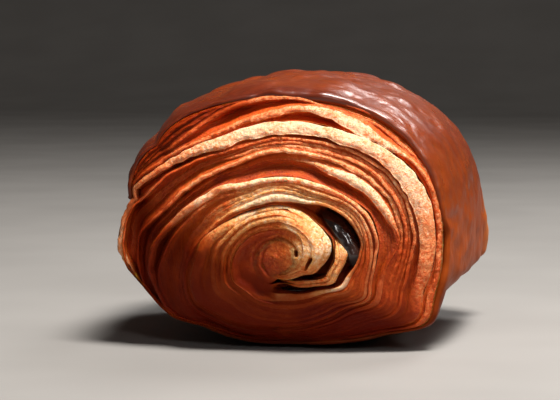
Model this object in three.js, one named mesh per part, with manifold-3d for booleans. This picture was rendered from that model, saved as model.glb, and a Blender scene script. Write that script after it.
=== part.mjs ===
// Pain au chocolat: a sheet of laminated dough, rolled up round two chocolate batons and baked.
//
// Millimetres. +X runs across the roll, +Y runs along it from the front end to the back end, +Z is up,
// and the origin is the middle of the flat base. The dough is one solid: a domed barrel with the
// spiral of its layers cut into both ends and a slot for each baton. Each baton is its own solid,
// which lies in its slot from end to end with a small gap all round.
//
// The swirl is polar. Its heart is the point that the sheet winds round, directions are angles about
// it in the XZ plane (right, top, left, low), and a distance from it is a share: 0 at the heart and
// 1 at the crust. An unwrapped angle counts quarter turns along the sheet, from the heart outwards.

import * as THREE from "three";
import { ParametricGeometry } from "three/addons/geometries/ParametricGeometry.js";
import { mergeVertices } from "three/addons/utils/BufferGeometryUtils.js";
import Module from "manifold-3d";

const wasm = await Module();
wasm.setup();

// ---- driving dimensions ----

const LENGTH = 88; // between the tips of the two domed ends
const HALF_WIDTH = 38.4;
const MIDDLE_Z = 22.3; // height at which the roll is widest
const ABOVE = 34.7; // from there to the top
const BELOW = 23.8; // from there down, before the base is cut flat
const ROUND_TOP = 2.25; // superellipse exponents: 2 is an ellipse, more is squarer
const ROUND_LOW_LEFT = 1.7;
const ROUND_LOW_RIGHT = 2.8;
const ROUND_BLEND = 20; // the two lower corners blend over this distance on each side of the middle

const DOME = 11; // how far the middle of an end stands out from its rim
const DOME_POWER = 2.2;
const RIM_ROUNDING = 2;
const RIM_START = 0.97; // the share of the way out at which an end turns over into its rim
const RIM_GIRTH = 0.91; // the roll's girth at its rims, as a share of its middle
const GIRTH_POWER = 2.4; // how late along the roll it starts to slim

const SHOULDER = 0.9; // how much the roll swells high on the right
const FLATTER = 1; // how much flatter it is high on the left
const CORNER = 2.8; // how much the front's lower right corner swells
const LEFT_CORNER = 1.8; // and its lower left corner
const TUCK = 4.3; // how far the roll tucks in low on the right, behind that corner

const HEART = { x: 1.4, z: 20 };

// How far out the sheet's outer face lies, in each quarter turn: right, top, left, low, and again.
const SHEET_REACH = [
  0.1, 0.14, 0.2, 0.25, 0.33, 0.29, 0.47, 0.75, 0.58, 0.46, 0.77, 0.9, 0.9, 0.78, 0.97, 1,
];
const FIRST_GROOVE = 2; // quarter turns at which the grooves begin and end
const TURN_GROOVE_END = 14.6;
const LAYER_GROOVE_START = 10.4;
const LAYER_GROOVE_END = 17.6;
const LAYER_SHARES = [0.36, 0.7]; // where the grooves between layers lie in the sheet's thickness

const GROOVE_WIDTH = 1.2;
const GROOVE_FLOOR = 0.5;
const GROOVE_DEPTH = 4;
const GROOVE_CLEAR = 3; // how far a cutter stands out of the end
const STATIONS_PER_QUARTER = 5;

const BATON_LENGTH = 76;
const BATON_GAP = 0.3;
const BATON_BEVEL = 0.9;
const BATONS = [
  { name: "chocolate_baton_right", x: 15.7, z: 23.6, outward: 34, width: 15.5, thick: 5.8, bend: 16 },
  { name: "chocolate_baton_low", x: 4.4, z: 11.8, outward: -90, width: 9.4, thick: 3, bend: 18 },
];

const AROUND = 48;
const SIDE_RINGS = 7;
const FACE_RINGS = 3;
const FACE_RING_SPACING = 0.8; // below 1, the rings lie closer together towards the rim
const ARC_STEPS = 4; // along each arc of a baton's section
const HALVINGS = 30;
const SAME_POINT = 1e-4;

// ---- small helpers ----

const QUARTER = Math.PI / 2;
const lerp = THREE.MathUtils.lerp;
const smoothstep = THREE.MathUtils.smoothstep;

// A smooth curve through a list of values, one at each whole number.
function through(list, at) {
  const curve = new THREE.SplineCurve(list.map((value, i) => new THREE.Vector2(i, value)));
  return curve.getPoint(THREE.MathUtils.clamp(at / (list.length - 1), 0, 1)).y;
}

function solidOf(geometry) {
  geometry.deleteAttribute("normal");
  geometry.deleteAttribute("uv");
  const merged = mergeVertices(geometry, SAME_POINT);
  const corners = merged.index.array;
  const kept = [];
  for (let i = 0; i < corners.length; i += 3) {
    const [a, b, c] = corners.subarray(i, i + 3);
    if (a !== b && b !== c && c !== a) kept.push(a, b, c);
  }
  const mesh = new wasm.Mesh({
    numProp: 3,
    vertProperties: merged.attributes.position.array,
    triVerts: new Uint32Array(kept),
  });
  return new wasm.Manifold(mesh);
}

function geometryOf(solid) {
  const mesh = solid.getMesh();
  const geometry = new THREE.BufferGeometry();
  geometry.setAttribute("position", new THREE.BufferAttribute(mesh.vertProperties, 3));
  geometry.setIndex(new THREE.BufferAttribute(mesh.triVerts, 1));
  geometry.computeVertexNormals();
  return geometry;
}

// ---- the roll's shape ----

// Below 1 inside the outline, above 1 outside it: a superellipse whose lower corners differ.
function outlineValue(x, z) {
  const low = lerp(ROUND_LOW_LEFT, ROUND_LOW_RIGHT, smoothstep(x, -ROUND_BLEND, ROUND_BLEND));
  const up = z - MIDDLE_Z;
  const power = up > 0 ? ROUND_TOP : low;
  const half = up > 0 ? ABOVE : BELOW;
  return Math.abs(x / HALF_WIDTH) ** power + Math.abs(up / half) ** power;
}

// Distance from the heart to the outline in a direction, found by halving.
function crustDistance(angle) {
  let inside = 0;
  let outside = 2 * HALF_WIDTH;
  for (let i = 0; i < HALVINGS; i++) {
    const middle = (inside + outside) / 2;
    const x = HEART.x + middle * Math.cos(angle);
    const z = HEART.z + middle * Math.sin(angle);
    if (outlineValue(x, z) < 1) inside = middle;
    else outside = middle;
  }
  return inside;
}

// The roll is slightly slimmer towards its rims.
function girth(y) {
  const rim = LENGTH / 2 - DOME;
  return 1 - (1 - RIM_GIRTH) * Math.min(1, Math.abs(y) / rim) ** GIRTH_POWER;
}

// A soft bump round a place, as wide as its spread.
function bump(at, middle, spread) {
  return Math.exp(-(((at - middle) / spread) ** 2));
}

// Where the roll differs from a plain barrel. Directions are in quarter turns: 0 right, -1 low.
function swell(angle, y) {
  const quarter = THREE.MathUtils.euclideanModulo(angle / QUARTER + 2, 4) - 2;
  const shoulder = SHOULDER * bump(quarter, 0.4, 0.25) - FLATTER * bump(quarter, 1.27, 0.17);
  const corners = CORNER * bump(quarter, -0.29, 0.09) + LEFT_CORNER * bump(quarter, -1.67, 0.12);
  const lowRight = smoothstep(quarter, -0.6, -0.33) * (1 - smoothstep(quarter, -0.2, -0.08));
  const tuck = TUCK * lowRight * smoothstep(y, -34, -8) * (1 - smoothstep(y, 20, 33) / 2);
  return shoulder + corners * (1 - smoothstep(y, -34, -14)) - tuck;
}

function rollDistance(angle, y) {
  return crustDistance(angle) * girth(y) + swell(angle, y);
}

// Y of the front end's surface at a share of the way out.
function faceY(share) {
  return -LENGTH / 2 + DOME * Math.min(1, share) ** DOME_POWER;
}

function place(angle, share, y, target) {
  const distance = share * rollDistance(angle, y);
  return target.set(HEART.x + distance * Math.cos(angle), y, HEART.z + distance * Math.sin(angle));
}

// [share, y] from the middle of the front end, over its rim and along half of the side.
function halfProfile() {
  const face = Array.from({ length: FACE_RINGS }, (_, i) => {
    const share = (i / FACE_RINGS) ** FACE_RING_SPACING * RIM_START;
    return [share, faceY(share)];
  });
  const rimY = faceY(1) + RIM_ROUNDING;
  const side = Array.from({ length: Math.ceil(SIDE_RINGS / 2) }, (_, i) => [
    1,
    lerp(rimY, 0, i / (SIDE_RINGS / 2)),
  ]);
  return [...face, [RIM_START, faceY(RIM_START)], ...side];
}

function barrel() {
  const half = halfProfile();
  const profile = [...half, ...half.map(([share, y]) => [share, -y]).reverse()];
  const surface = (u, v, target) => {
    const [share, y] = profile[Math.round(v * (profile.length - 1))];
    place(-u * 4 * QUARTER, share, y, target);
  };
  return solidOf(new ParametricGeometry(surface, AROUND, profile.length - 1));
}

// ---- the spiral cut into an end ----

// Share of the way out at a quarter turn, for a line at a share of the sheet's thickness from its
// outer face. The sheet's inner face is the outer face of the turn inside it.
function lineShare(quarter, depthShare) {
  const outer = through(SHEET_REACH, quarter);
  const inner = quarter < 4 ? 0 : through(SHEET_REACH, quarter - 4);
  return lerp(outer, inner, depthShare);
}

// A tapered cutter that follows one line of the spiral, on the front end (side 1) or the back (-1).
function grooveCutter(from, to, depthShare, side) {
  const stations = Math.round((to - from) * STATIONS_PER_QUARTER);
  const section = [
    [side * GROOVE_WIDTH, -GROOVE_CLEAR],
    [side * GROOVE_FLOOR, GROOVE_DEPTH],
    [-side * GROOVE_FLOOR, GROOVE_DEPTH],
    [-side * GROOVE_WIDTH, -GROOVE_CLEAR],
  ];
  const surface = (u, v, target) => {
    const step = Math.round(v * (stations + 2));
    const along = THREE.MathUtils.clamp(step - 1, 0, stations) / stations;
    const closed = step === 0 || step === stations + 2;
    const [across, down] = closed ? [0, 0] : section[Math.round(u * 4) % 4];
    const quarter = lerp(from, to, along);
    const angle = quarter * QUARTER;
    const share = lineShare(quarter, depthShare);
    const y = faceY(share) + down;
    const distance = share * rollDistance(angle, side * y) + across / 2;
    target.set(
      HEART.x + distance * Math.cos(angle),
      side * y,
      HEART.z + distance * Math.sin(angle),
    );
  };
  return solidOf(new ParametricGeometry(surface, 4, stations + 2));
}

function cutSpiral(dough, side) {
  let left = dough.subtract(grooveCutter(FIRST_GROOVE, TURN_GROOVE_END, 0, side));
  for (const share of LAYER_SHARES)
    left = left.subtract(grooveCutter(LAYER_GROOVE_START, LAYER_GROOVE_END, share, side));
  return left;
}

// ---- the batons and their slots ----

// A bar's cross-section, bent round the heart, with round ends; grown by a gap for its slot.
function batonShape({ x, z, outward, width, thick, bend }, grown) {
  const facing = THREE.MathUtils.degToRad(outward);
  const half = (width - thick) / 2 / bend;
  const cx = x - bend * Math.cos(facing);
  const cz = z - bend * Math.sin(facing);
  const end = thick / 2 + grown;
  const centreOf = (angle) => [cx + bend * Math.cos(angle), cz + bend * Math.sin(angle)];
  const [first, last] = [facing - half, facing + half];
  const shape = new THREE.Shape();
  shape.absarc(cx, cz, bend + end, first, last, false);
  shape.absarc(...centreOf(last), end, last, last + Math.PI, false);
  shape.absarc(cx, cz, bend - end, last, first, true);
  shape.absarc(...centreOf(first), end, first + Math.PI, first + 2 * Math.PI, false);
  return shape;
}

function prism(shape, length, bevel) {
  const geometry = new THREE.ExtrudeGeometry(shape, {
    depth: length - 2 * bevel,
    curveSegments: ARC_STEPS,
    bevelEnabled: bevel > 0,
    bevelThickness: bevel,
    bevelSize: bevel,
    bevelOffset: -bevel,
    bevelSegments: 1,
  });
  geometry.rotateX(QUARTER);
  geometry.translate(0, length / 2 - bevel, 0);
  return solidOf(geometry);
}

// ---- assembly ----

function doughSolid() {
  let dough = barrel();
  const floor = new THREE.BoxGeometry(3 * HALF_WIDTH, 2 * LENGTH, BELOW);
  floor.translate(0, 0, -BELOW / 2);
  dough = dough.subtract(solidOf(floor));
  dough = cutSpiral(cutSpiral(dough, 1), -1);
  for (const baton of BATONS)
    dough = dough.subtract(prism(batonShape(baton, BATON_GAP), 2 * LENGTH, 0));
  return dough;
}

const crustMaterial = new THREE.MeshStandardMaterial({ color: "#b5622c", roughness: 0.4 });
const chocolateMaterial = new THREE.MeshStandardMaterial({ color: "#22110b", roughness: 0.25 });

const painAuChocolat = new THREE.Group();

const pastry = new THREE.Mesh(geometryOf(doughSolid()), crustMaterial);
pastry.name = "pastry";
painAuChocolat.add(pastry);

for (const baton of BATONS) {
  const solid = prism(batonShape(baton, 0), BATON_LENGTH, BATON_BEVEL);
  const mesh = new THREE.Mesh(geometryOf(solid), chocolateMaterial);
  mesh.name = baton.name;
  painAuChocolat.add(mesh);
}

export default painAuChocolat;
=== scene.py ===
"""Pain au chocolat: laminated dough rolled round two chocolate batons, glazed and baked.

Lengths in the code are millimetres in the row's frame, and a mesh is written in metres. +X runs across
the roll, +Y along it from the front end to the back end, and +Z is up.

The swirl is polar. Its heart is the point that the dough winds round. A direction is counted in quarter
turns about it: 0 right, 1 top, 2 left, 3 low, and on, so that 5 is the top again one turn further out.
"""

import math

import bpy
import numpy as np
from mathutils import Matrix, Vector


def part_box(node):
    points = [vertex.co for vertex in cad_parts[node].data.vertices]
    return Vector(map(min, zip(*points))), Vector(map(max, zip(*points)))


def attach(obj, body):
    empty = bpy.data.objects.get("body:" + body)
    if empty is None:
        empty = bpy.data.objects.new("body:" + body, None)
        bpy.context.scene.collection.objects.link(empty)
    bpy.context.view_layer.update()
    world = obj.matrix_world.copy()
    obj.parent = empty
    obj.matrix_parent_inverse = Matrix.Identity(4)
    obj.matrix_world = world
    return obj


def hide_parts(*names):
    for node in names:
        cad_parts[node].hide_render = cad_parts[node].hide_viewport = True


bl_info = {
    "name": "Pain au chocolat",
    "version": (1, 0, 0),
    "blender": (4, 5, 0),
    "location": "View3D > Sidebar > Pastry",
    "description": "Builds a rolled, laminated and glazed pastry with chocolate batons",
    "category": "Add Mesh",
}

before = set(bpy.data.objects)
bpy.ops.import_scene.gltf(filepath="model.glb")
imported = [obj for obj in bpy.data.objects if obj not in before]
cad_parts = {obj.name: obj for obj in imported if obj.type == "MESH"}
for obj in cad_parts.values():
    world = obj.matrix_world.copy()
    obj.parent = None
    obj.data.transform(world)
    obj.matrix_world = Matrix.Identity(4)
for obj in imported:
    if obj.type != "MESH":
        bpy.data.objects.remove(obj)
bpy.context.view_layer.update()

MM = 0.001
UV_MARGIN = 0.004  # kept free at the top and at the bottom of each solid's band of UV
FRONT, BACK = 1, -1

# ---- sizes from the frame ----

ROLL_LOW, ROLL_HIGH = (np.array(corner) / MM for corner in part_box("pastry"))
HALF_LENGTH = (ROLL_HIGH[1] - ROLL_LOW[1]) / 2
HALF_WIDTH = (ROLL_HIGH[0] - ROLL_LOW[0]) / 2
HEIGHT = ROLL_HIGH[2]

# ---- the roll's shape ----

SKIN = 0.4  # how far the smooth roll stays inside the frame's box, which leaves room for blisters
WIDEST = 22.3
BELOW = 23.8
ROUND_TOP = 2.25
ROUND_LOW_LEFT = 1.7
ROUND_LOW_RIGHT = 2.8
ROUND_BLEND = 20.0
DOME = 11.0
DOME_POWER = 2.2
RIM = HALF_LENGTH - DOME  # from the middle to where each end's dome starts
RIM_GIRTH = 0.91
GIRTH_POWER = 2.4
SHOULDER = 0.9  # how much the roll swells or draws in there, by swell()
FLATTER = 1.0
CORNER = 2.8
LEFT_CORNER = 1.8
TUCK = 4.3
HEART = np.array([1.4, 20.0])
FACE_SET = 1.3  # how far back the smooth dome starts, which leaves room for the layers that stand out
CRUST_THICK = 1.3
LIP_EXTRA = 1.0  # how much thicker its rolled front edge is, high on the right
RIM_OVERLAP = 1.2  # the layers end this far inside the outline, within the crust
GIRTH = 230.0  # round the outline, about
LAP_STEP = 1.65  # how far the turn below lies under the lap's skin
LAP_MARGIN = 0.06  # quarter turns before the lap where the sheet's tip is already tucked under
CRUST_COVER = 1.1  # how much crust lies over the layers behind the rim
COVER_SHARE = 0.97  # of what would stand out of that cover, how much is pressed back
LAP_FADE = 22.0  # the step runs out this far past the lap
LAP = 1.8  # quarter turns: where the sheet's outer end lies, on the left

# ---- noise ----

LATTICE = np.random.default_rng(11).random((32, 32, 32)) * 2 - 1


def noise(points, size, seed=0):
    """Smooth value noise from -1 to 1: lattice values, blended by a quintic between their cells."""
    at = np.asarray(points, float) / size + seed * np.array([7.31, 3.17, 5.71])
    cell = np.floor(at).astype(int)
    share = at - cell
    share = share**3 * (share * (share * 6 - 15) + 10)
    total = 0.0
    for corner in np.ndindex(2, 2, 2):
        i, j, k = (((cell + corner) % 32)[..., axis] for axis in range(3))
        weight = np.prod(np.where(corner, share, 1 - share), axis=-1)
        total = total + weight * LATTICE[i, j, k]
    return total


def rough(points, size, octaves=3, seed=0):
    """Noise summed over octaves, each half the size and half the height of the one before."""
    heights = 0.5 ** np.arange(octaves)
    layers = [h * noise(points, size / 2**i, seed + 3 * i) for i, h in enumerate(heights)]
    return sum(layers) / heights.sum()


def along_line(at, size, seed):
    """Noise along a line, from -1 to 1."""
    at = np.asarray(at, float)
    return noise(np.stack([at, 0 * at + 2.3 * seed, 0 * at + 0.7], -1), size, seed)


# ---- curves through a few values ----


def through(knots, at):
    """A smooth curve through (place, value) pairs: cubic pieces that never pass their ends' values."""
    x, y = np.array(knots, float).T
    step = np.diff(y) / np.diff(x)
    product = step[:-1] * step[1:]
    between = np.where(product > 0, 2 * product / np.where(product > 0, step[:-1] + step[1:], 1), 0)
    slope = np.concatenate([step[:1], between, step[-1:]])
    at = np.clip(at, x[0], x[-1])
    i = np.clip(np.searchsorted(x, at, side="right") - 1, 0, len(x) - 2)
    width = x[i + 1] - x[i]
    t = (at - x[i]) / width
    rise = (1 + 2 * t) * (1 - t) ** 2 * y[i] + t * (1 - t) ** 2 * width * slope[i]
    return rise + t * t * (3 - 2 * t) * y[i + 1] + t * t * (t - 1) * width * slope[i + 1]


def smooth(low, high, at):
    """0 below low, 1 above high, with a soft S between."""
    t = np.clip((at - low) / (high - low), 0, 1)
    return t * t * (3 - 2 * t)


def mix(a, b, share):
    """A share of the way from a to b."""
    return a + (b - a) * share


# ---- the roll as functions of direction and place along it ----


def outline_value(x, z):
    """Below 1 inside the smooth roll: a superellipse whose lower corners differ."""
    low = mix(ROUND_LOW_LEFT, ROUND_LOW_RIGHT, smooth(-ROUND_BLEND, ROUND_BLEND, x))
    up = z - WIDEST
    power = np.where(up > 0, ROUND_TOP, low)
    half = np.where(up > 0, HEIGHT - WIDEST, BELOW) - SKIN
    return np.abs(x / (HALF_WIDTH - SKIN)) ** power + np.abs(up / half) ** power


def outline_table(count=1440):
    """Distance from the heart to the smooth outline, for directions all round, found by halving."""
    quarter = np.linspace(0, 4, count + 1)
    right, up = np.cos(quarter * math.pi / 2), np.sin(quarter * math.pi / 2)
    inside, outside = np.zeros(count + 1), np.full(count + 1, 2 * HALF_WIDTH)
    for _ in range(40):
        middle = (inside + outside) / 2
        within = outline_value(HEART[0] + middle * right, HEART[1] + middle * up) < 1
        inside, outside = np.where(within, middle, inside), np.where(within, outside, middle)
    return quarter, inside


OUTLINE = outline_table()


def notches(quarter):
    """How deep the grooves between the sheet's flaps cut into the outline on the left, in mm."""
    q = quarter % 4
    return 2.3 * np.exp(-np.abs(q - 1.79) / 0.07) + 1.6 * np.exp(-np.abs(q - 1.57) / 0.06)


def reach(quarter):
    """Distance from the heart to the outline, before the roll is slimmed towards its ends."""
    return np.interp(np.mod(quarter, 4), *OUTLINE) - notches(quarter)


def girth(y):
    """The roll's size at a place along it, as a share of its size half way."""
    return 1 - (1 - RIM_GIRTH) * np.minimum(1, np.abs(y) / RIM) ** GIRTH_POWER


def band(at, low, full_low, full_high, high):
    """Rises from 0 to 1 between the first two places and falls back between the last two."""
    return smooth(low, full_low, at) * (1 - smooth(full_high, high, at))


def bump(at, middle, spread):
    """A bell: 1 at the middle, falling to about a third at the spread on either side."""
    return np.exp(-(((at - middle) / spread) ** 2))


def swell(quarter, y):
    """Where the roll differs from a plain barrel, in mm: fuller at its right shoulder and at the front's
    lower corners, flatter high on the left, and tucked in low on the right."""
    at = (quarter + 2) % 4 - 2
    corners = CORNER * bump(at, -0.29, 0.09) + LEFT_CORNER * bump(at, -1.67, 0.12)
    tuck = band(at, -0.6, -0.33, -0.2, -0.08) * smooth(-34, -8, y) * (1 - 0.5 * smooth(20, 33, y))
    return (SHOULDER * bump(at, 0.4, 0.25) - FLATTER * bump(at, 1.27, 0.17)
            + corners * (1 - smooth(-34, -14, y)) - TUCK * tuck)


def stretch(quarter, y):
    """The roll's size in a direction at a place along it, as a share of reach."""
    return girth(y) + swell(quarter, y) / reach(quarter)


def face_y(share):
    """Y of the front end's smooth surface at a share of the way out to the crust."""
    return -HALF_LENGTH + FACE_SET + (DOME - FACE_SET) * np.clip(share, 0, 1) ** DOME_POWER


def in_space(quarter, distance, y):
    """Points at a direction and a distance from the heart, lifted onto the flat base where they pass it."""
    angle = np.asarray(quarter) * math.pi / 2
    x = HEART[0] + distance * np.cos(angle)
    z = HEART[1] + distance * np.sin(angle)
    z = np.where(z < 1.2, 0.05 + 1.15 * np.exp((z - 1.2) / 1.15), z)
    return np.stack(np.broadcast_arrays(x, y, z), -1)


# ---- meshes from grids of points ----


def solid_from_loops(rows):
    """A closed surface through a stack of closed loops (rows, points in a loop, 3), with a point at each end.

    Returns points, faces with four corners (three, and -1, at the ends) and a UV for each corner."""
    count, around = rows.shape[:2]
    points = np.concatenate([rows.reshape(-1, 3), rows[:1].mean(1), rows[-1:].mean(1)])
    i, j = np.meshgrid(np.arange(count - 1), np.arange(around), indexing="ij")
    n = (j + 1) % around
    quads = np.stack([i * around + j, i * around + n, (i + 1) * around + n, (i + 1) * around + j], -1)
    u0, u1 = j / around, (j + 1) / around
    v0, v1 = (i + 1) / (count + 1), (i + 2) / (count + 1)
    quad_uv = np.stack([np.stack(c, -1) for c in ((u0, v0), (u1, v0), (u1, v1), (u0, v1))], -2)
    j = np.arange(around)
    n = (j + 1) % around
    start, end = count * around, count * around + 1
    last = (count - 1) * around
    first = np.stack([n, j, 0 * j + start, 0 * j - 1], -1)
    final = np.stack([last + j, last + n, 0 * j + end, 0 * j - 1], -1)
    u0, u1 = j / around, (j + 1) / around
    low, high = 1 / (count + 1), count / (count + 1)
    middle = (u0 + u1) / 2
    first_uv = np.stack([np.stack([u1, u0, middle, middle], -1),
                         np.stack([0 * j + low, 0 * j + low, 0 * j, 0 * j], -1)], -1)
    final_uv = np.stack([np.stack([u0, u1, middle, middle], -1),
                         np.stack([0 * j + high, 0 * j + high, 0 * j + 1.0, 0 * j + 1.0], -1)], -1)
    faces = np.concatenate([quads.reshape(-1, 4), first, final])
    uv = np.concatenate([quad_uv.reshape(-1, 4, 2), first_uv, final_uv])
    return points, faces, uv


def with_ends(values):
    """Values on a grid of loops, with the two end points' values added as solid_from_loops orders them."""
    return np.concatenate([values.reshape(-1), [values[0].mean(), values[-1].mean()]])


def volume_sign(points, faces):
    """Positive where a closed surface's faces look outwards: six times its volume."""
    a, b, c = (points[faces[:, k]] for k in range(3))
    total = np.einsum("ij,ij->i", a, np.cross(b, c)).sum()
    four = faces[:, 3] >= 0
    a, b, c = (points[faces[four][:, k]] for k in (0, 2, 3))
    return total + np.einsum("ij,ij->i", a, np.cross(b, c)).sum()


def mesh_object(name, solids, material):
    """One object from solids, each (points, faces, uv, attributes). Each solid gets its own band of UV."""
    points, loops, sizes, uvs = [], [], [], []
    attributes = {key: [] for key in solids[0][3]}
    offset = 0
    heights = np.array([len(s[1]) for s in solids], float)
    edges = np.concatenate([[0], np.cumsum(heights / heights.sum())])
    for (place, faces, uv, values), low, high in zip(solids, edges, edges[1:]):
        if volume_sign(place, faces) < 0:
            four = faces[:, 3:] >= 0
            faces = np.where(four, faces[:, [3, 2, 1, 0]], faces[:, [2, 1, 0, 3]])
            uv = np.where(four[..., None], uv[:, [3, 2, 1, 0]], uv[:, [2, 1, 0, 3]])
        used = faces >= 0
        own_uv = np.stack([uv[..., 1], mix(low + UV_MARGIN, high - UV_MARGIN, uv[..., 0])], -1)
        points.append(place)
        loops.append(faces[used] + offset)
        sizes.append(used.sum(1))
        uvs.append(own_uv[used])
        offset += len(place)
        for key in attributes:
            attributes[key].append(values[key])
    points, loops, sizes, uvs = (np.concatenate(x) for x in (points, loops, sizes, uvs))
    mesh = bpy.data.meshes.new(name)
    mesh.vertices.add(len(points))
    mesh.vertices.foreach_set("co", (points * MM).astype(np.float32).ravel())
    mesh.loops.add(len(loops))
    mesh.loops.foreach_set("vertex_index", loops.astype(np.int32))
    mesh.polygons.add(len(sizes))
    starts = np.concatenate([[0], np.cumsum(sizes)[:-1]])
    mesh.polygons.foreach_set("loop_start", starts.astype(np.int32))
    mesh.update(calc_edges=True)
    mesh.validate()
    mesh.polygons.foreach_set("use_smooth", np.ones(len(mesh.polygons), bool))
    layer = mesh.uv_layers.new(name="OFBake")
    layer.uv.foreach_set("vector", uvs.astype(np.float32).ravel())
    for key, values in attributes.items():
        attribute = mesh.attributes.new(key, "FLOAT", "POINT")
        attribute.data.foreach_set("value", np.concatenate(values).astype(np.float32))
    mesh.materials.append(material)
    piece = bpy.data.objects.new(name, mesh)
    bpy.context.scene.collection.objects.link(piece)
    print(f"{name}: {int((sizes - 2).sum())} triangles")
    return piece


# ---- shader nodes ----


class Nodes:
    """Adds nodes to a tree and links them, so that a material reads as a list of steps."""

    def __init__(self, tree):
        self.tree = tree

    def add(self, kind, inputs=None, **settings):
        node = self.tree.nodes.new(kind)
        for key, value in settings.items():
            setattr(node, key, value)
        for key, value in (inputs or {}).items():
            self.put(node.inputs[key], value)
        return node

    def put(self, socket, value):
        if isinstance(value, bpy.types.NodeSocket):
            self.tree.links.new(value, socket)
        else:
            socket.default_value = value

    def math(self, operation, a, b=0.0, c=0.0, clamp=False):
        return self.add("ShaderNodeMath", {0: a, 1: b, 2: c}, operation=operation,
                        use_clamp=clamp).outputs[0]

    def ramp(self, value, low, high, to_low=0.0, to_high=1.0):
        node = self.add("ShaderNodeMapRange", {"Value": value, "From Min": low, "From Max": high,
                                               "To Min": to_low, "To Max": to_high})
        node.interpolation_type = "SMOOTHSTEP"
        return node.outputs["Result"]

    def mix(self, share, a, b, how="MIX"):
        node = self.add("ShaderNodeMix", data_type="RGBA", blend_type=how)
        self.put(node.inputs["Factor"], share)
        self.put(node.inputs[6], a)
        self.put(node.inputs[7], b)
        return node.outputs[2]

    def attribute(self, name):
        return self.add("ShaderNodeAttribute", attribute_name=name).outputs["Fac"]

    def noise(self, place, size_mm, detail=2.0, roughness=0.5, distortion=0.0):
        node = self.add("ShaderNodeTexNoise",
                        {"Vector": place, "Scale": 1 / (size_mm * MM), "Detail": detail,
                                               "Roughness": roughness, "Distortion": distortion})
        return node.outputs["Fac"]


def colour(code):
    """Linear RGBA from an sRGB code such as E8A060."""
    shares = [int(code[i:i + 2], 16) / 255 for i in (0, 2, 4)]
    linear = [s / 12.92 if s <= 0.04045 else ((s + 0.055) / 1.055) ** 2.4 for s in shares]
    return (*linear, 1.0)


def new_material(name):
    """A material, the means to add nodes to it, and its Principled shader."""
    material = bpy.data.materials.new(name)
    material.use_nodes = True
    shader = material.node_tree.nodes["Principled BSDF"]
    return material, Nodes(material.node_tree), shader


# ---- the dough layers at an end ----


class Layer:
    """A layer of the sheet that shows at an end, with the wall that joins it to the layer inside it.

    Each measure is a number, or (quarter turn, value) pairs: outer, how far out its outer side lies; width,
    of its pale edge; depth, of the gap on its inner side; rise, how far its edge stands out; tone, of the
    edge, from pale (-1) to browned (1); wall, the same for the gap, from golden to red-brown. deepest is
    where across the gap it becomes deepest, plateau how much of the rest stays so, and crumb how crumbly
    the edge is."""

    def __init__(self, outer, width, depth, rise=0.0, tone=0.0, wall=0.0, deepest=0.85, crumb=1.0,
                 steps=(6, 4), plateau=0.0):
        self.outer = outer
        self.width = width
        self.depth = depth
        self.rise = rise
        self.tone = tone
        self.wall = wall
        self.deepest = deepest
        self.crumb = crumb
        self.steps = steps
        self.plateau = plateau


class Turn:
    """A stretch of the sheet from one quarter turn to another, from a line on its inner side outwards.
    distinct is how far its layers stand apart (0 to 1), and a turn at the heart merges into the heart."""

    def __init__(self, start, stop, inner, lift, layers, back=14.0, distinct=1.0, at_heart=False):
        self.start = start
        self.stop = stop
        self.inner = inner
        self.lift = lift
        self.layers = layers
        self.back = back
        self.distinct = distinct
        self.at_heart = at_heart


# Distance from the heart of the sheet's outer face, in millimetres, by quarter turn.
SHEET = [
    (-1.7, 4.6), (-1, 5.2), (-0.45, 6.9), (-0.3, 8.2), (-0.1, 10.6), (0.04, 11.8), (0.15, 12.1),
    (0.3, 11.4), (0.5, 10.9), (0.75, 11.1), (1, 11.2), (1.25, 11.7), (1.5, 12.7), (1.75, 15.0), (1.9, 17.5),
    (2.05, 19.2), (2.2, 21.0), (2.5, 20.0), (3, 16.5), (3.5, 18.3), (3.75, 20.8), (4, 21.9), (4.1, 22.3),
    (4.25, 22.0), (4.4, 20.2), (4.6, 18.4), (4.75, 17.9), (5, 17.5), (5.25, 18.1), (5.4, 19.6), (5.5, 20.8),
    (5.6, 21.8), (5.75, 24.4), (5.9, 27.6), (6, 30.2), (6.1, 31.2), (6.25, 29.4), (6.5, 24.2), (7, 19.8),
    (7.25, 21.2), (7.5, 25.2), (7.75, 31.2), (8, 34.1), (8.2, 34.7), (8.35, 34.0), (8.5, 32.5), (8.7, 30.6),
    (9, 29.5), (9.3, 30.3), (9.5, 31.8), (9.6, 33.5), (9.7, 36.0), (9.8, 38.6), (10, 38.8), (10.25, 32.5),
    (10.5, 25.8), (11, 21.4), (11.5, 28.2), (12, 37.4),
]
INSIDE = [(quarter + 4, distance) for quarter, distance in SHEET]

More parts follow.
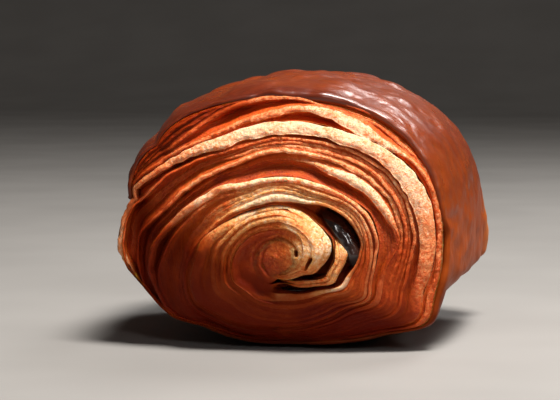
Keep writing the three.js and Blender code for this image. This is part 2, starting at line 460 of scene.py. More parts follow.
# The innermost turn and a half: the nose, the curl round the heart, then the golden band above it.
INNER_TURN = Turn(
    -1.7, 7.15,
    inner=[
        (-1.7, 3.2), (-1, 3.6), (-0.4, 3.6), (0, 3.4), (0.5, 3.4), (1, 3.2), (1.5, 3.0), (1.75, 3.2),
        (2, 4.4), (2.5, 5.9), (2.8, 6.8), (3, 6.2), (3.55, 8.5), (3.75, 10.7), (3.9, 11.9), (4.05, 12.4),
        (4.17, 12.4), (4.3, 11.6), (4.5, 10.9), (4.75, 11.1), (5, 11.2), (5.25, 11.7), (5.5, 12.7),
        (5.75, 15.0), (5.9, 17.5), (6.05, 19.2), (6.2, 21.0), (6.5, 20.0), (7, 16.5), (7.5, 18.3),
    ],
    lift=[(-1.7, -0.8), (-1, -0.5), (-0.4, 0.4), (0.1, 1.2), (0.6, 1.1), (1, 0.7), (2, 0.3), (3, 0.0)],
    layers=[
        Layer([(-1.7, 3.8), (-1, 4.3), (-0.45, 4.9), (-0.1, 5.6), (0.15, 6.2), (0.5, 6.4), (1, 6.0),
               (1.5, 6.9), (1.75, 8.1), (2, 9.8), (2.2, 10.9), (2.6, 10.9), (3.05, 10.4), (3.25, 11.0),
               (3.5, 12.6), (3.6, 13.7), (3.74, 15.5), (3.9, 17.6), (4, 18.4), (4.1, 19.0), (4.25, 18.2),
               (4.5, 15.8), (4.6, 14.9), (4.7, 14.1), (4.8, 13.9), (5, 14.0), (5.2, 13.7), (5.4, 13.8),
               (5.5, 14.4), (5.75, 16.4), (6, 20.2), (6.2, 23.0), (6.5, 22.0), (7, 17.3)],
              [(-1.7, 0.3), (-1, 0.6), (0, 1.3), (0.5, 1.7), (1, 1.2), (1.5, 1.3), (2, 1.5), (2.6, 2.0),
               (3.1, 1.8), (3.3, 1.4), (3.45, 1.2), (3.75, 1.0), (4, 0.7), (4.2, 0.6), (4.5, 0.9),
               (4.7, 1.2), (4.8, 1.4), (5, 2.0), (5.2, 1.7), (5.4, 1.0), (5.75, 0.6), (7, 0.3)],
              [(-1.7, 0.0), (0.3, 0.05), (0.6, 0.25), (1, 0.35), (1.7, 0.2), (2.1, 0.1), (2.6, 0.1),
               (2.85, 0.8), (3.0, 3.5), (3.4, 6.5), (4, 8.5), (4.45, 8.0), (4.6, 4.0), (4.8, 3.0), (5, 2.4),
               (5.3, 1.6), (5.6, 0.8), (7, 0.5)],
              [(-1.7, -0.5), (-1, -0.4), (0, -0.3), (0.6, -0.5), (1, -0.5), (2, -0.8), (2.6, -0.4),
               (3.5, -0.4), (4, -0.5), (4.5, 0.0), (5, 0.2), (6, -0.8)],
              [(-1, 0.3), (0, -0.2), (0.35, 0.0), (0.6, 0.6), (1, 0.8), (1.6, 0.8), (2.2, 0.5), (2.6, 0.2),
               (2.9, -0.5), (3.3, -0.2), (3.75, -0.9), (4, -0.2), (4.5, -0.4), (4.7, -0.9), (5.2, -1.0),
               (5.5, -0.4), (6, 0.6)],
              [(0.3, 0.4), (1, 0.7), (2, 0.6), (4, 1.0), (4.6, 0.7), (5, 0.6), (6, 0.5)],
              [(2.6, 0.7), (3.1, 0.3), (3.5, 0.2), (4.5, 0.2), (4.8, 0.5), (5.3, 0.7)], 0.7, (18, 6),
              [(2.7, 0.0), (3.2, 0.6), (4.5, 0.7), (5, 0.2), (5.5, 0.0)]),
        Layer([(-1.7, 4.0), (-1, 4.6), (-0.45, 5.5), (-0.1, 7.0), (0.15, 7.7), (0.5, 7.7), (1, 7.4),
               (1.5, 8.2), (1.75, 9.4), (2, 11.1), (2.25, 12.2), (2.6, 12.2), (3.0, 12.2), (3.2, 12.8),
               (3.5, 14.1), (3.75, 17.0), (4, 19.3), (4.25, 19.1), (4.5, 16.4), (4.75, 14.8), (5, 14.9),
               (5.25, 14.8), (5.5, 15.6), (5.75, 17.4), (6, 21.0), (6.25, 23.6), (6.5, 22.4), (7, 17.8)],
              [(-1, 0.2), (0, 1.9), (0.5, 1.0), (1, 1.0), (2, 1.2), (3, 0.9), (3.75, 0.8), (4.5, 0.7),
               (5, 0.7), (5.5, 0.7), (5.8, 0.15), (7, 0.1)],
              [(0, 0.02), (0.8, 0.05), (1.2, 0.4), (2, 0.8), (3, 0.4), (4, 0.5), (5, 0.6), (5.5, 0.5),
               (6, 0.3)],
              [(-1, -0.2), (0, 0.0), (1, -0.2), (2, -0.7), (3, -0.2), (4, -0.3), (5, 0.0), (5.6, -0.3),
               (5.9, -1.6), (7, -0.5)],
              [(-1, 0.3), (-0.3, -0.1), (0, -0.3), (0.6, -0.3), (1, 0.1), (1.6, 0.35), (2.2, 0.2), (3, 0.1),
               (4, 0.0), (5, -0.45), (5.7, 0.3), (6, 0.8)],
              [(0, 0.1), (2, 0.3), (3, 0.5), (4, 0.3), (5, -0.7), (6, 0.5)], 0.6, 0.8),
        Layer([(-1.7, 4.2), (-1, 4.8), (-0.45, 6.0), (-0.1, 8.4), (0.15, 9.3), (0.5, 9.0), (1, 8.9),
               (1.5, 9.7), (1.75, 10.9), (2, 12.6), (2.25, 13.6), (2.6, 13.8), (3.0, 14.0), (3.2, 14.6),
               (3.5, 15.9), (3.75, 19.0), (4, 20.2), (4.25, 19.8), (4.5, 17.0), (4.75, 15.5), (5, 15.6),
               (5.25, 15.6), (5.5, 16.9), (5.75, 18.8), (6, 22.0), (6.25, 24.4), (6.5, 22.9), (7, 18.3)],
              [(-1, 0.2), (-0.3, 0.3), (-0.24, 0.45), (-0.06, 0.5), (0.02, 1.1), (1, 1.2), (2, 1.1),
               (3, 0.7), (4, 0.6), (4.5, 0.6), (5, 0.6), (5.5, 0.9), (5.8, 0.15), (7, 0.1)],
              [(-0.3, 0.05), (-0.24, 5.0), (-0.08, 6.0), (-0.02, 1.4), (0.02, 0.05), (0.8, 0.05),
               (1.2, 0.4), (2, 0.8), (3, 0.4), (4, 0.6), (5, 0.4), (5.6, 0.6), (6, 0.3)],
              [(-1, -0.1), (0, 0.2), (1, 0.0), (2, -0.1), (3, -0.1), (5, 0.0), (5.6, -0.3), (5.9, -1.6),
               (7, -0.5)],
              [(-1, 0.3), (-0.3, -0.1), (0, -0.35), (1, -0.35), (2, -0.1), (3, 0.3), (4, 0.1), (5, -0.3),
               (5.7, 0.3), (6, 0.8)],
              [(-0.3, 0.9), (0, 0.9), (0.1, 0.1), (2, 0.3), (3, 0.5), (5, -0.6), (6, 0.5)], 0.6, 0.8),
        Layer([(-1.7, 4.4), (-1, 5.0), (-0.45, 6.4), (-0.1, 9.5), (0.15, 10.8), (0.5, 10.1), (1, 10.1),
               (1.5, 11.1), (1.75, 12.4), (2, 14.6), (2.25, 15.8), (2.6, 15.8), (3.0, 15.4), (3.2, 15.6),
               (3.5, 17.0), (3.75, 19.9), (4, 20.9), (4.15, 21.1), (4.25, 20.5), (4.4, 18.9), (4.5, 17.9),
               (4.6, 17.0), (4.75, 16.3), (5, 16.2), (5.25, 16.6), (5.5, 18.6), (5.75, 21.6), (6, 26.6),
               (6.15, 29.0), (6.3, 27.5), (6.5, 23.4), (7, 18.9)],
              [(-1, 0.2), (0, 1.1), (1, 1.0), (1.5, 0.8), (2, 1.0), (2.6, 0.8), (3, 0.6), (4, 0.6),
               (4.5, 0.6), (5, 0.45), (5.5, 0.6), (6, 0.4), (7, 0.3)],
              [(0, 0.02), (0.8, 0.05), (1.2, 0.6), (2, 1.4), (3, 0.6), (4, 0.8), (5, 0.5), (5.5, 1.2),
               (5.8, 2.2), (6.2, 2.2), (7, 0.8)],
              [(-1, 0.0), (0, 0.0), (1, 0.1), (2, 0.3), (3, 0.0), (5, 0.0), (6, -0.2)],
              [(-1, 0.3), (-0.3, -0.1), (0, -0.4), (1, -0.45), (2, -0.1), (2.6, 0.1), (3, 0.2), (3.5, -0.2),
               (4.5, -0.4), (5, -0.1), (6, 0.4)],
              [(0, 0.0), (2, 0.3), (3, 0.5), (5, -0.1), (5.8, 0.5), (6, 0.7)], 0.75, 1.0, (7, 4)),
        Layer(SHEET,
              [(-1, 0.2), (0, 1.0), (0.5, 0.7), (0.8, 0.8), (0.87, 0.5), (0.96, 0.5), (1.03, 0.9),
               (1.5, 1.5), (1.75, 2.4), (2, 3.0), (2.4, 2.6), (3, 0.8), (3.75, 0.6), (4, 0.7), (4.5, 0.9),
               (4.75, 1.25), (5, 1.2), (5.25, 1.4), (5.5, 1.9), (5.75, 1.6), (6, 0.9), (6.5, 0.6), (7, 0.4)],
              [(0.8, 0.1), (0.86, 5.0), (0.97, 5.0), (1.03, 0.2), (2, 1.0), (3, 0.6), (3.9, 1.2),
               (4.15, 2.0), (4.4, 1.6), (4.6, 1.0), (5, 1.2), (5.5, 1.4), (5.8, 3.0), (6.2, 3.2), (7, 1.0)],
              [(-1, 0.0), (-0.3, -0.3), (0, -0.6), (0.6, -0.3), (1, -0.1), (1.7, 0.3), (2, 0.4), (3, 0.1),
               (4, 0.3), (5, 0.3), (6, 0.2)],
              [(-1, 0.3), (0, -0.45), (1, -0.5), (1.5, -0.5), (1.8, -0.2), (2.1, 0.3), (2.5, 0.5), (3, 0.4),
               (3.5, -0.2), (4, -0.35), (4.5, -0.5), (5, -0.65), (5.6, -0.6), (6, 0.1), (7, 0.5)],
              [(0.8, 0.9), (1.1, 0.1), (3, 0.6), (4.1, 0.9), (4.6, 0.3), (5, 0.0), (5.8, 0.5), (6, 0.8)],
              0.7, 1.5, (6, 7)),
    ],
    distinct=[(-1.7, 0.0), (-0.5, 0.1), (0, 0.12), (0.5, 0.12), (0.8, 0.4), (1.1, 0.8), (1.9, 1.0),
              (2.2, 0.8), (2.5, 0.5), (3.0, 0.5), (3.5, 0.8), (3.8, 1.0)],
    at_heart=True,
)

STRIP = Turn(
    2.85, 4.23,
    inner=[(2.85, 4.9), (3.15, 5.5), (3.45, 7.4), (3.53, 8.2), (3.71, 10.4), (3.86, 12.1), (3.97, 12.8),
           (4.1, 12.8), (4.25, 12.3)],
    lift=[(2.85, -1.8), (3.3, -0.9), (3.6, -0.2), (3.9, 0.2), (4.25, -0.8)],
    layers=[
        Layer([(2.85, 5.3), (3.15, 6.1), (3.45, 8.4), (3.6, 10.1), (3.71, 11.5), (3.86, 13.1), (3.97, 13.8),
               (4.1, 13.4), (4.25, 12.5)],
              [(2.85, 0.4), (3.4, 0.9), (3.7, 1.1), (4, 1.0), (4.25, 0.2)], 0.2, 0.0,
              [(3, 0.2), (3.7, -0.1), (4, -0.35)], 0.2, 0.5, 0.8),
        Layer([(2.85, 5.8), (3.15, 6.8), (3.45, 9.4), (3.66, 12.0), (3.75, 13.1), (3.85, 14.3),
               (3.95, 15.2), (4.02, 15.5), (4.09, 14.9), (4.15, 13.8), (4.25, 12.7)],
              [(2.85, 0.4), (3.3, 0.9), (3.7, 1.5), (3.95, 1.8), (4.1, 1.4), (4.25, 0.2)], 0.3, -0.2,
              [(3, 0.1), (3.7, -0.3), (4, -0.5)], 0.2,
              0.5, 0.7),
    ],
    back=10.0,
)

SECOND_TURN = Turn(
    6.85, 11.15,
    inner=INSIDE,
    lift=0.0,
    layers=[
        Layer([(6.85, 17.4), (7.25, 18.5), (7.5, 20.0), (7.62, 21.4), (7.75, 22.9), (7.95, 24.5),
               (8.1, 26.8), (8.2, 26.2), (8.3, 25.5), (8.5, 24.1), (8.7, 22.4), (8.85, 21.5), (9, 21.2),
               (9.25, 21.6), (9.5, 22.9), (9.75, 26.2), (10, 31.4), (10.15, 31.8), (10.5, 24.6), (11, 20.0)],
              [(6.85, 0.3), (7.5, 0.5), (7.65, 1.0), (7.8, 1.1), (7.95, 0.5), (8.02, 0.3), (8.12, 0.9),
               (8.2, 1.5), (8.3, 1.8), (8.4, 2.0), (8.5, 2.2), (8.6, 2.0), (8.7, 1.5), (8.8, 0.5),
               (8.95, 0.15), (11, 0.1)],
              [(7, 0.6), (7.6, 1.0), (8, 0.6), (8.25, 1.6), (8.5, 3.0), (8.8, 2.8), (9.2, 2.2), (9.6, 1.5),
               (10, 0.8), (11, 0.4)],
              [(7, -0.3), (8, -0.5), (8.3, 0.0), (8.6, 0.2), (8.9, -1.0), (9.4, -1.3), (10, -1.0)],
              [(7, 0.3), (7.7, -0.35), (8, 0.4), (8.2, -0.6), (8.5, -1.0), (8.8, -0.4), (9, 0.4), (10, 0.7)],
              [(7, 0.5), (8, 0.5), (8.5, 0.65), (9, 0.85), (9.5, 0.9), (10, 0.8)], 0.6, 0.8, (14, 7)),
        Layer([(6.85, 17.8), (7.25, 18.9), (7.5, 20.9), (7.75, 24.2), (8, 27.0), (8.15, 27.8), (8.25, 27.5),
               (8.4, 26.4), (8.5, 25.8), (8.7, 24.4), (8.8, 23.8), (9, 23.6), (9.3, 23.6), (9.4, 23.9),
               (9.5, 24.7), (9.6, 25.8), (9.75, 28.0), (9.85, 30.6), (9.95, 33.4), (10.1, 33.6),
               (10.25, 30.6), (10.5, 24.9), (11, 20.3)],
              [(6.85, 0.3), (7.75, 0.6), (8, 0.8), (8.25, 0.9), (8.5, 1.0), (8.75, 0.9), (9, 0.9),
               (9.2, 0.7), (9.4, 0.9), (9.75, 0.65), (10, 0.4), (11, 0.2)],
              [(7, 0.5), (8, 0.5), (8.25, 1.6), (8.5, 2.2), (8.8, 1.0), (9.1, 2.6), (9.5, 3.6), (10, 3.6),
               (10.5, 1.5), (11, 0.5)],
              [(7, -0.2), (8, -0.3), (8.5, 0.0), (9, 0.3), (9.6, 0.3), (10, 0.0)],
              [(7, 0.4), (7.8, 0.2), (8.2, -0.3), (9, -0.4), (9.4, -0.35), (9.8, 0.0), (10, 0.4)],
              [(7, 0.5), (8, 0.4), (8.5, 0.3), (9, 0.2), (9.6, 0.5), (10, 0.8)], 0.85, 1.4, (8, 5)),
        Layer([(6.85, 18.2), (7.25, 19.4), (7.5, 21.8), (7.75, 25.2), (8, 27.9), (8.15, 28.7), (8.25, 28.5),
               (8.5, 27.1), (8.75, 25.2), (9, 24.5), (9.2, 24.7), (9.4, 25.6), (9.5, 26.6), (9.75, 30.3),
               (9.9, 34.0), (10.1, 34.6), (10.25, 31.1), (10.5, 25.1), (11, 20.5)],
              [(6.85, 0.3), (7.75, 0.4), (8, 0.55), (8.5, 0.65), (9, 0.6), (9.3, 0.4), (9.5, 0.1),
               (11, 0.1)],
              [(7, 0.4), (8, 0.6), (8.2, 1.0), (8.5, 1.6), (9, 1.0), (9.3, 1.2), (9.6, 0.4), (11, 0.2)],
              [(8, -0.2), (8.4, 0.2), (9, 0.0), (9.3, -0.5), (9.55, -3.0), (10.3, -3.0), (10.8, -0.5)],
              [(7, 0.4), (7.8, 0.2), (8.2, -0.1), (9, -0.2), (9.4, 0.2), (10, 0.5)],
              [(8, 0.4), (9, 0.3), (10, 0.8)], 0.7, 1.3),
        Layer([(6.85, 18.6), (7.25, 19.9), (7.5, 22.7), (7.75, 26.2), (8, 28.5), (8.15, 29.3), (8.25, 29.2),
               (8.5, 27.9), (8.75, 25.9), (9, 25.2), (9.25, 25.6), (9.5, 27.5), (9.75, 32.0), (9.9, 35.5),
               (10.1, 35.2), (10.25, 31.5), (10.5, 25.3), (11, 20.7)],
              [(6.85, 0.3), (7.8, 0.4), (8, 0.5), (8.5, 0.6), (9, 0.5), (9.5, 0.1), (11, 0.1)],
              [(7, 0.4), (8, 0.2), (8.5, 0.4), (9, 0.9), (9.3, 1.2), (9.6, 0.4), (11, 0.2)],
              [(8, -0.3), (8.6, -0.3), (9, 0.0), (9.3, -0.5), (9.55, -3.0), (10.3, -3.0), (10.8, -0.5)],
              [(7, 0.4), (7.8, 0.2), (8.2, -0.2), (8.8, 0.0), (9.2, 0.2), (10, 0.5)],
              [(8, 0.5), (9, 0.4), (10, 0.8)], 0.7, 1.2),
        Layer([(6.85, 19.0), (7.25, 20.4), (7.5, 23.6), (7.75, 27.2), (7.9, 28.8), (8.08, 30.0),
               (8.25, 30.1), (8.4, 29.5), (8.5, 28.8), (8.6, 28.1), (8.75, 26.8), (9, 26.1), (9.25, 26.5),
               (9.4, 27.6), (9.5, 28.8), (9.65, 31.8), (9.75, 33.9), (9.85, 36.6), (10, 37.4),
               (10.25, 31.8), (10.5, 25.4), (11, 20.9)],
              [(6.85, 0.3), (7.8, 0.5), (8, 0.7), (8.5, 0.7), (9, 0.5), (9.4, 0.35), (9.75, 0.5), (10, 0.3),
               (11, 0.2)],
              [(7, 0.4), (7.8, 0.8), (8.25, 0.9), (8.5, 1.0), (9, 0.9), (9.5, 2.5), (9.8, 3.5), (10.2, 2.5),
               (11, 0.4)],
              [(7.8, 0.0), (8.5, 0.2), (9, 0.1), (9.6, 0.2), (10, 0.1)],
              [(7, 0.4), (7.8, 0.1), (8.2, -0.35), (8.6, -0.2), (9, 0.2), (9.5, 0.5), (9.75, 0.0),
               (10, 0.3)],
              [(8, 0.6), (9, 0.5), (10, 0.9)], 0.75, 1.3),
        Layer(SHEET,
              [(6.85, 0.5), (7.25, 0.8), (7.5, 1.4), (7.75, 2.4), (8, 3.2), (8.25, 3.6), (8.4, 3.3),
               (8.5, 3.0), (8.75, 2.7), (9, 2.8), (9.25, 3.0), (9.5, 1.9), (9.65, 1.5), (9.75, 1.4),
               (9.9, 2.5), (10.05, 2.4), (10.2, 0.9), (11, 0.3)],
              [(7, 0.5), (7.8, 1.6), (8.1, 3.0), (8.5, 2.6), (9, 2.0), (9.4, 2.8), (9.6, 4.5), (10, 4.5),
               (10.3, 2.5), (11, 0.5)],
              [(7.5, 0.0), (7.8, 0.2), (8, 0.7), (8.5, 0.9), (9, 0.7), (9.6, 0.3), (10, 0.2)],
              [(7.2, 0.7), (7.7, 0.55), (7.85, 0.15), (8.0, -0.35), (8.35, -0.8), (9.2, -0.85),
               (9.45, -0.55), (9.7, -0.15), (9.88, -0.5), (10.06, -0.6), (10.2, 0.2), (11, 0.6)],
              [(7, 0.6), (8, 0.8), (8.5, 0.9), (9, 0.7), (9.6, 0.8), (10, 1.0)], 0.8, 1.3, (7, 12)),
    ],
)

THIRD_TURN = Turn(
    10.85, 13.84,
    inner=INSIDE,
    lift=0.0,
    layers=[
        Layer([(10.85, 20.6), (11.25, 22.3), (11.5, 26.4), (11.75, 32.8), (12, 36.0), (12.25, 36.1),
               (12.35, 35.5), (12.5, 34.1), (12.57, 33.8), (12.65, 34.0), (12.72, 34.0), (12.8, 33.8),
               (12.95, 33.0), (13.1, 32.1), (13.3, 31.9), (13.42, 32.1), (13.5, 33.2), (13.6, 35.0),
               (13.7, 37.2), (13.84, 38.6)],
              [(10.85, 0.4), (11.75, 0.6), (12, 1.0), (12.25, 0.9), (12.4, 0.6), (12.5, 1.6), (12.6, 2.5),
               (12.7, 2.9), (12.8, 2.0), (12.9, 1.4), (13, 1.5), (13.1, 1.3), (13.3, 0.9), (13.5, 0.9),
               (13.7, 0.6), (13.84, 0.3)],
              [(11, 0.5), (11.8, 1.2), (12.3, 1.4), (12.5, 1.8), (12.65, 2.2), (12.85, 2.6), (13.0, 2.2),
               (13.12, 1.2), (13.3, 0.9), (13.5, 1.2), (13.84, 0.8)],
              [(11, 0.0), (12, 0.0), (12.6, 0.6), (13, 0.5), (13.5, 0.0)],
              [(11, 0.4), (12, 0.0), (12.3, -0.2), (12.5, -0.6), (12.8, -0.75), (13, -0.3), (13.3, -0.1),
               (13.6, 0.2), (13.8, 0.5)],
              [(11, 0.5), (12, 0.2), (12.6, 0.25), (13, 0.25), (13.5, 0.8)], 0.5, 1.1, (8, 6), 0.5),
        Layer([(10.85, 20.8), (11.25, 22.7), (11.5, 27.1), (11.75, 34.1), (12, 36.8), (12.25, 36.9),
               (12.35, 36.4), (12.5, 35.4), (12.6, 35.2), (12.7, 34.5), (12.85, 34.2), (12.93, 34.9),
               (13, 35.4), (13.12, 35.9), (13.25, 35.8), (13.4, 35.1), (13.5, 35.0), (13.6, 36.6),
               (13.7, 37.9), (13.84, 38.8)],
              [(10.85, 0.3), (12, 0.4), (12.3, 0.6), (12.5, 0.5), (12.65, 0.3), (12.85, 0.3), (12.95, 0.7),
               (13.1, 0.95), (13.3, 0.8), (13.5, 0.6), (13.84, 0.3)],
              [(11, 0.4), (12, 0.8), (12.35, 1.3), (12.55, 0.9), (12.8, 0.3), (12.92, 1.2), (13.05, 2.6),
               (13.25, 3.0), (13.4, 2.4), (13.55, 1.2), (13.84, 0.6)],
              [(11, -0.2), (12, -0.2), (12.5, -0.4), (13, 0.2), (13.3, 0.0), (13.6, -0.2)],
              [(11, 0.5), (12, 0.2), (12.5, 0.1), (13, 0.0), (13.3, 0.1), (13.6, 0.5)],
              [(11, 0.5), (12, 0.2), (12.9, 0.3), (13.2, 0.3), (13.6, 1.0)], 0.5, 0.8, (8, 4), 0.5),
        Layer([(10.85, 21.0), (11.5, 27.4), (12, 36.9), (12.25, 37.0), (12.5, 35.3), (12.85, 34.4),
               (12.95, 35.2), (13, 36.0), (13.25, 36.8), (13.4, 36.2), (13.5, 36.3), (13.6, 37.3),
               (13.84, 39.5)],
              [(10.85, 0.05), (12.9, 0.05), (13, 0.3), (13.84, 0.35)],
              [(11, 0.05), (12.9, 0.05), (13.0, 1.2), (13.2, 1.0), (13.5, 1.3), (13.84, 0.5)],
              [(11, -0.2), (12.5, -0.9), (13, -0.2), (13.4, 0.2), (13.84, -0.3)],
              [(11, 0.5), (12.5, 0.4), (12.9, 0.8), (13.84, 0.7)],
              [(11, 0.5), (12.5, 0.3), (12.9, 1.0), (13.6, 1.1)], 0.6, 1.2),
        Layer([(10.85, 21.3), (11.5, 27.6), (12, 37.0), (12.25, 37.1), (12.5, 35.4), (12.85, 34.5),
               (12.95, 35.6), (13, 36.8), (13.25, 37.7), (13.4, 37.3), (13.5, 37.5), (13.6, 38.2),
               (13.84, 40)],
              [(10.85, 0.05), (12.9, 0.05), (13, 0.3), (13.84, 0.35)],
              [(11, 0.05), (12.9, 0.05), (13.0, 1.2), (13.2, 1.0), (13.5, 1.3), (13.84, 0.5)],
              [(11, -0.2), (12.5, -0.9), (13, -0.6), (13.4, 0.4), (13.84, -0.3)],
              [(11, 0.5), (12.5, 0.4), (12.9, 0.9), (13.84, 0.9)],
              [(11, 0.5), (12.5, 0.3), (12.9, 1.0), (13.6, 1.1)], 0.6, 1.2),
        Layer([(10.85, 45.0), (13.84, 45.0)], 0.25,
              [(11, 0.4), (12, 0.6), (12.3, 0.9), (12.6, 1.5), (12.85, 1.8), (13, 1.5), (13.3, 1.2),
               (13.6, 1.5), (13.84, 0.5)],
              [(11, -0.3), (13.84, -0.3)], 0.8,
              [(11, 0.5), (12, 0.1), (12.7, -0.1), (12.95, 0.2), (13.1, 1.0), (13.6, 1.0)], 0.3, 0.5,
              (9, 3), 0.6),
    ],
)

TURNS = [INNER_TURN, STRIP, SECOND_TURN, THIRD_TURN]


def at_quarter(value, quarter):
    """A number, or the curve through (quarter turn, value) pairs, at some quarter turns."""
    return through(value, quarter) if isinstance(value, list) else value + 0 * quarter


def stations(turn, spacing):
    """Quarter turns spaced evenly by length along the middle of a turn, and the length up to each."""
    q = np.linspace(turn.start, turn.stop, 2000)
    r = (through(turn.inner, q) + at_quarter(turn.layers[-1].outer, q)) / 2
    points = in_space(q, np.minimum(r, reach(q)), 0 * q)
    length = np.concatenate([[0], np.cumsum(np.linalg.norm(np.diff(points, axis=0), axis=1))])
    at = np.linspace(0, length[-1], int(length[-1] / spacing))
    return np.interp(at, length, q), at


def sunk(past):
    """How far the crust lies inside the outline, by mm past the lap: deepest there, then running out."""
    return LAP_STEP * (1 - smooth(0, LAP_FADE, past))


def turn_solid(turn, end, spacing, seed):
    """One turn of the sheet at an end. At each station along it a profile runs outwards: down each wall
    to the root of the gap, up onto the next layer and over its edge. It returns through the dough behind."""
    q, s = stations(turn, spacing)
    limit = reach(q) - RIM_OVERLAP + 1.5 * bump(q % 4, 1.98, 0.13)
    taper = smooth(0, 5.0, s) * smooth(0, 5.0, s[-1] - s)
    rows = {key: [] for key in ("across", "down", "hollow", "tone", "crumb", "leaf")}

    def put(*values):
        for key, value in zip(rows, values):
            rows[key].append(value + 0 * q)

    low_down = smooth(-0.05, 0.6, -np.sin(q * math.pi / 2))
    left = smooth(0.1, 0.8, -np.cos(q * math.pi / 2))
    inner = np.minimum(through(turn.inner, q), limit - 0.8)
    before, before_down = inner, 0.6 + 0 * q
    for k, layer in enumerate(turn.layers):
        own = seed + 11 * k
        # Low down, and most of all on the left, the layers have set against each other.
        together = low_down * smooth(11.0, 24.0, at_quarter(layer.outer, q) + 10.0 * left)
        distinct = at_quarter(turn.distinct, q) * (1 - 0.7 * together)
        waver = 0.24 * distinct * along_line(s, 6.0, own)
        waver = waver + layer.crumb * distinct * 0.12 * along_line(s, 1.5, own + 1)
        outer = np.minimum(at_quarter(layer.outer, q) + waver, limit)
        width = at_quarter(layer.width, q) * (1 + 0.16 * along_line(s, 4.0, own + 2))
        start = np.maximum(outer - width, before + 0.04)
        outer = np.maximum(outer, start + 0.06)
        gap = start - before
        open_share = np.clip(0.95 + 0.5 * along_line(s, 9.0, own + 3), 0.4, 1.3)
        depth = at_quarter(layer.depth, q) * open_share * np.clip(gap / 1.7, 0, 1) ** 1.2
        depth = depth * (1 - 0.85 * together if k else 1)
        down = -at_quarter(layer.rise, q) - 0.25 * distinct * along_line(s, 12.0, own + 4)
        tone = at_quarter(layer.tone, q)
        wall = mix(tone, at_quarter(layer.wall, q),
                   np.clip(np.maximum(2.5 * distinct - 0.2, depth / 2), 0, 1))
        rounding = 0.45 * distinct * np.clip(width / 1.3, 0.3, 1)
        gap_steps, edge_steps = layer.steps
        low = at_quarter(layer.deepest, q)
        high = low + (1 - low) * at_quarter(layer.plateau, q)
        for part in np.linspace(0.03, 0.98, gap_steps):
            t = part**1.3
            share = np.minimum(np.minimum(t / low, (1 - t) / np.maximum(1 - high, 0.02)), 1)
            hollow = (0.2 + 0.8 * share) * np.clip(depth / 1.4, 0.1 * distinct, 1)
            put(before + gap * t, mix(before_down, down, t) + depth * share, hollow, wall, 0.2 * distinct,
                distinct)
        for t in np.linspace(0, 1, edge_steps):
            put(mix(start, outer, t), down + rounding * (2 * t - 1) ** 2, 0.0, tone,
                layer.crumb * (0.3 + 0.7 * distinct), distinct)
        before, before_down = outer, down + rounding
    across, down, hollow, tone, crumb, leaf = (np.array(rows[key]) for key in rows)

    # Ragged, crumbly edges: noise in the dough itself, stretched along the layers.
    place = np.stack([np.broadcast_to(s, across.shape), across, 0 * across + 10.0 * seed], -1)
    stretched = place * np.array([0.7, 1.0, 1.0])
    ragged = 0.2 * rough(stretched, 1.6, 3, seed) + 0.2 * rough(place, 0.8, 2, seed + 9)
    down = down - ragged * crumb
    across = across + (0.1 * rough(stretched, 1.6, 2, seed + 4)
                       * smooth(0.0, 0.4, np.gradient(across, axis=0)))

    place = np.stack([s + 0 * across, across, 0 * across + 3.0], -1)
    tone = tone + ((0.18 + 0.3 * smooth(16.0, 6.0, across))
                   * rough(place * np.array([0.6, 1, 1]), 3.0, 2, seed + 5))
    share = across / reach(q)
    y = face_y(share) + down - at_quarter(turn.lift, q) + (1 - taper) * 1.5
    if turn.at_heart:
        inside = np.clip((through(turn.layers[-1].outer, q) - across) / 3.0, 0, 1)
        y = y + 1.5 * (1 - inside) ** 2 * smooth(-0.8, -0.3, q) * (1 - smooth(1.2, 2.2, q))
        fold = through(turn.layers[0].outer, q)
        apart = smooth(-1.9, 0.1, across - fold) * smooth(turn.start, turn.start + 1.1, q)
        apart = np.maximum(apart, smooth(2.75, 3.0, q))
        dip, heart_tone = heart(q + 0 * across, across)
        y = mix(face_y(share) + dip + 0.06, y, apart)
        hollow, tone, leaf = mix(0.1, hollow, apart), mix(heart_tone, tone, apart), leaf * apart
    y = np.maximum(y, -HALF_LENGTH + 0.1)
    rim = face_y(before / reach(q))
    # Behind the face the turn dives clear of the crust.
    root = mix(inner, np.minimum(inner, before - 4.8), smooth(7.0, 3.5, reach(q) - before))
    behind = np.array([np.maximum(before - drop, root) for drop in (3.0, 3.6)]
                      + [(root + before - 2.0) / 2, root])
    across = np.concatenate([across, behind])
    y = np.concatenate([y, rim + np.array([[2.5], [turn.back], [turn.back], [turn.back]])])
    hollow, tone, leaf = (np.concatenate([x, 0 * behind + 1.0]) for x in (hollow, tone, leaf))
    distance = across * stretch(q, np.clip(y, -RIM, 0) * end)
    distance = mix(distance.mean(0), distance, 0.04 + 0.96 * np.sqrt(taper))
    # Past the lap the crust is sunk, and what lies behind the rim has to stay under it.
    past = (np.mod(q - LAP + LAP_MARGIN, 4) - LAP_MARGIN) / 4 * GIRTH
    cover = (reach(q) - CRUST_COVER - sunk(past)) * stretch(q, 0 * q - RIM * end)
    hidden = smooth(-RIM - 0.5, -RIM + 0.05, y)
    distance = distance - COVER_SHARE * hidden * np.maximum(0, distance - cover)
    points = in_space(q, distance, y)
    points[..., 1] *= end
    points, faces, uv = solid_from_loops(np.swapaxes(points, 0, 1))
    strand = np.broadcast_to(s, across.shape) + 50.0 * seed
    values = {"hollow": hollow, "tone": tone, "bake_and_shade": bake_and_shade_at(q, across), "leaf": leaf, "strand": strand,
              "across": across}
    return points, faces, uv, {key: with_ends(value.T) for key, value in values.items()}


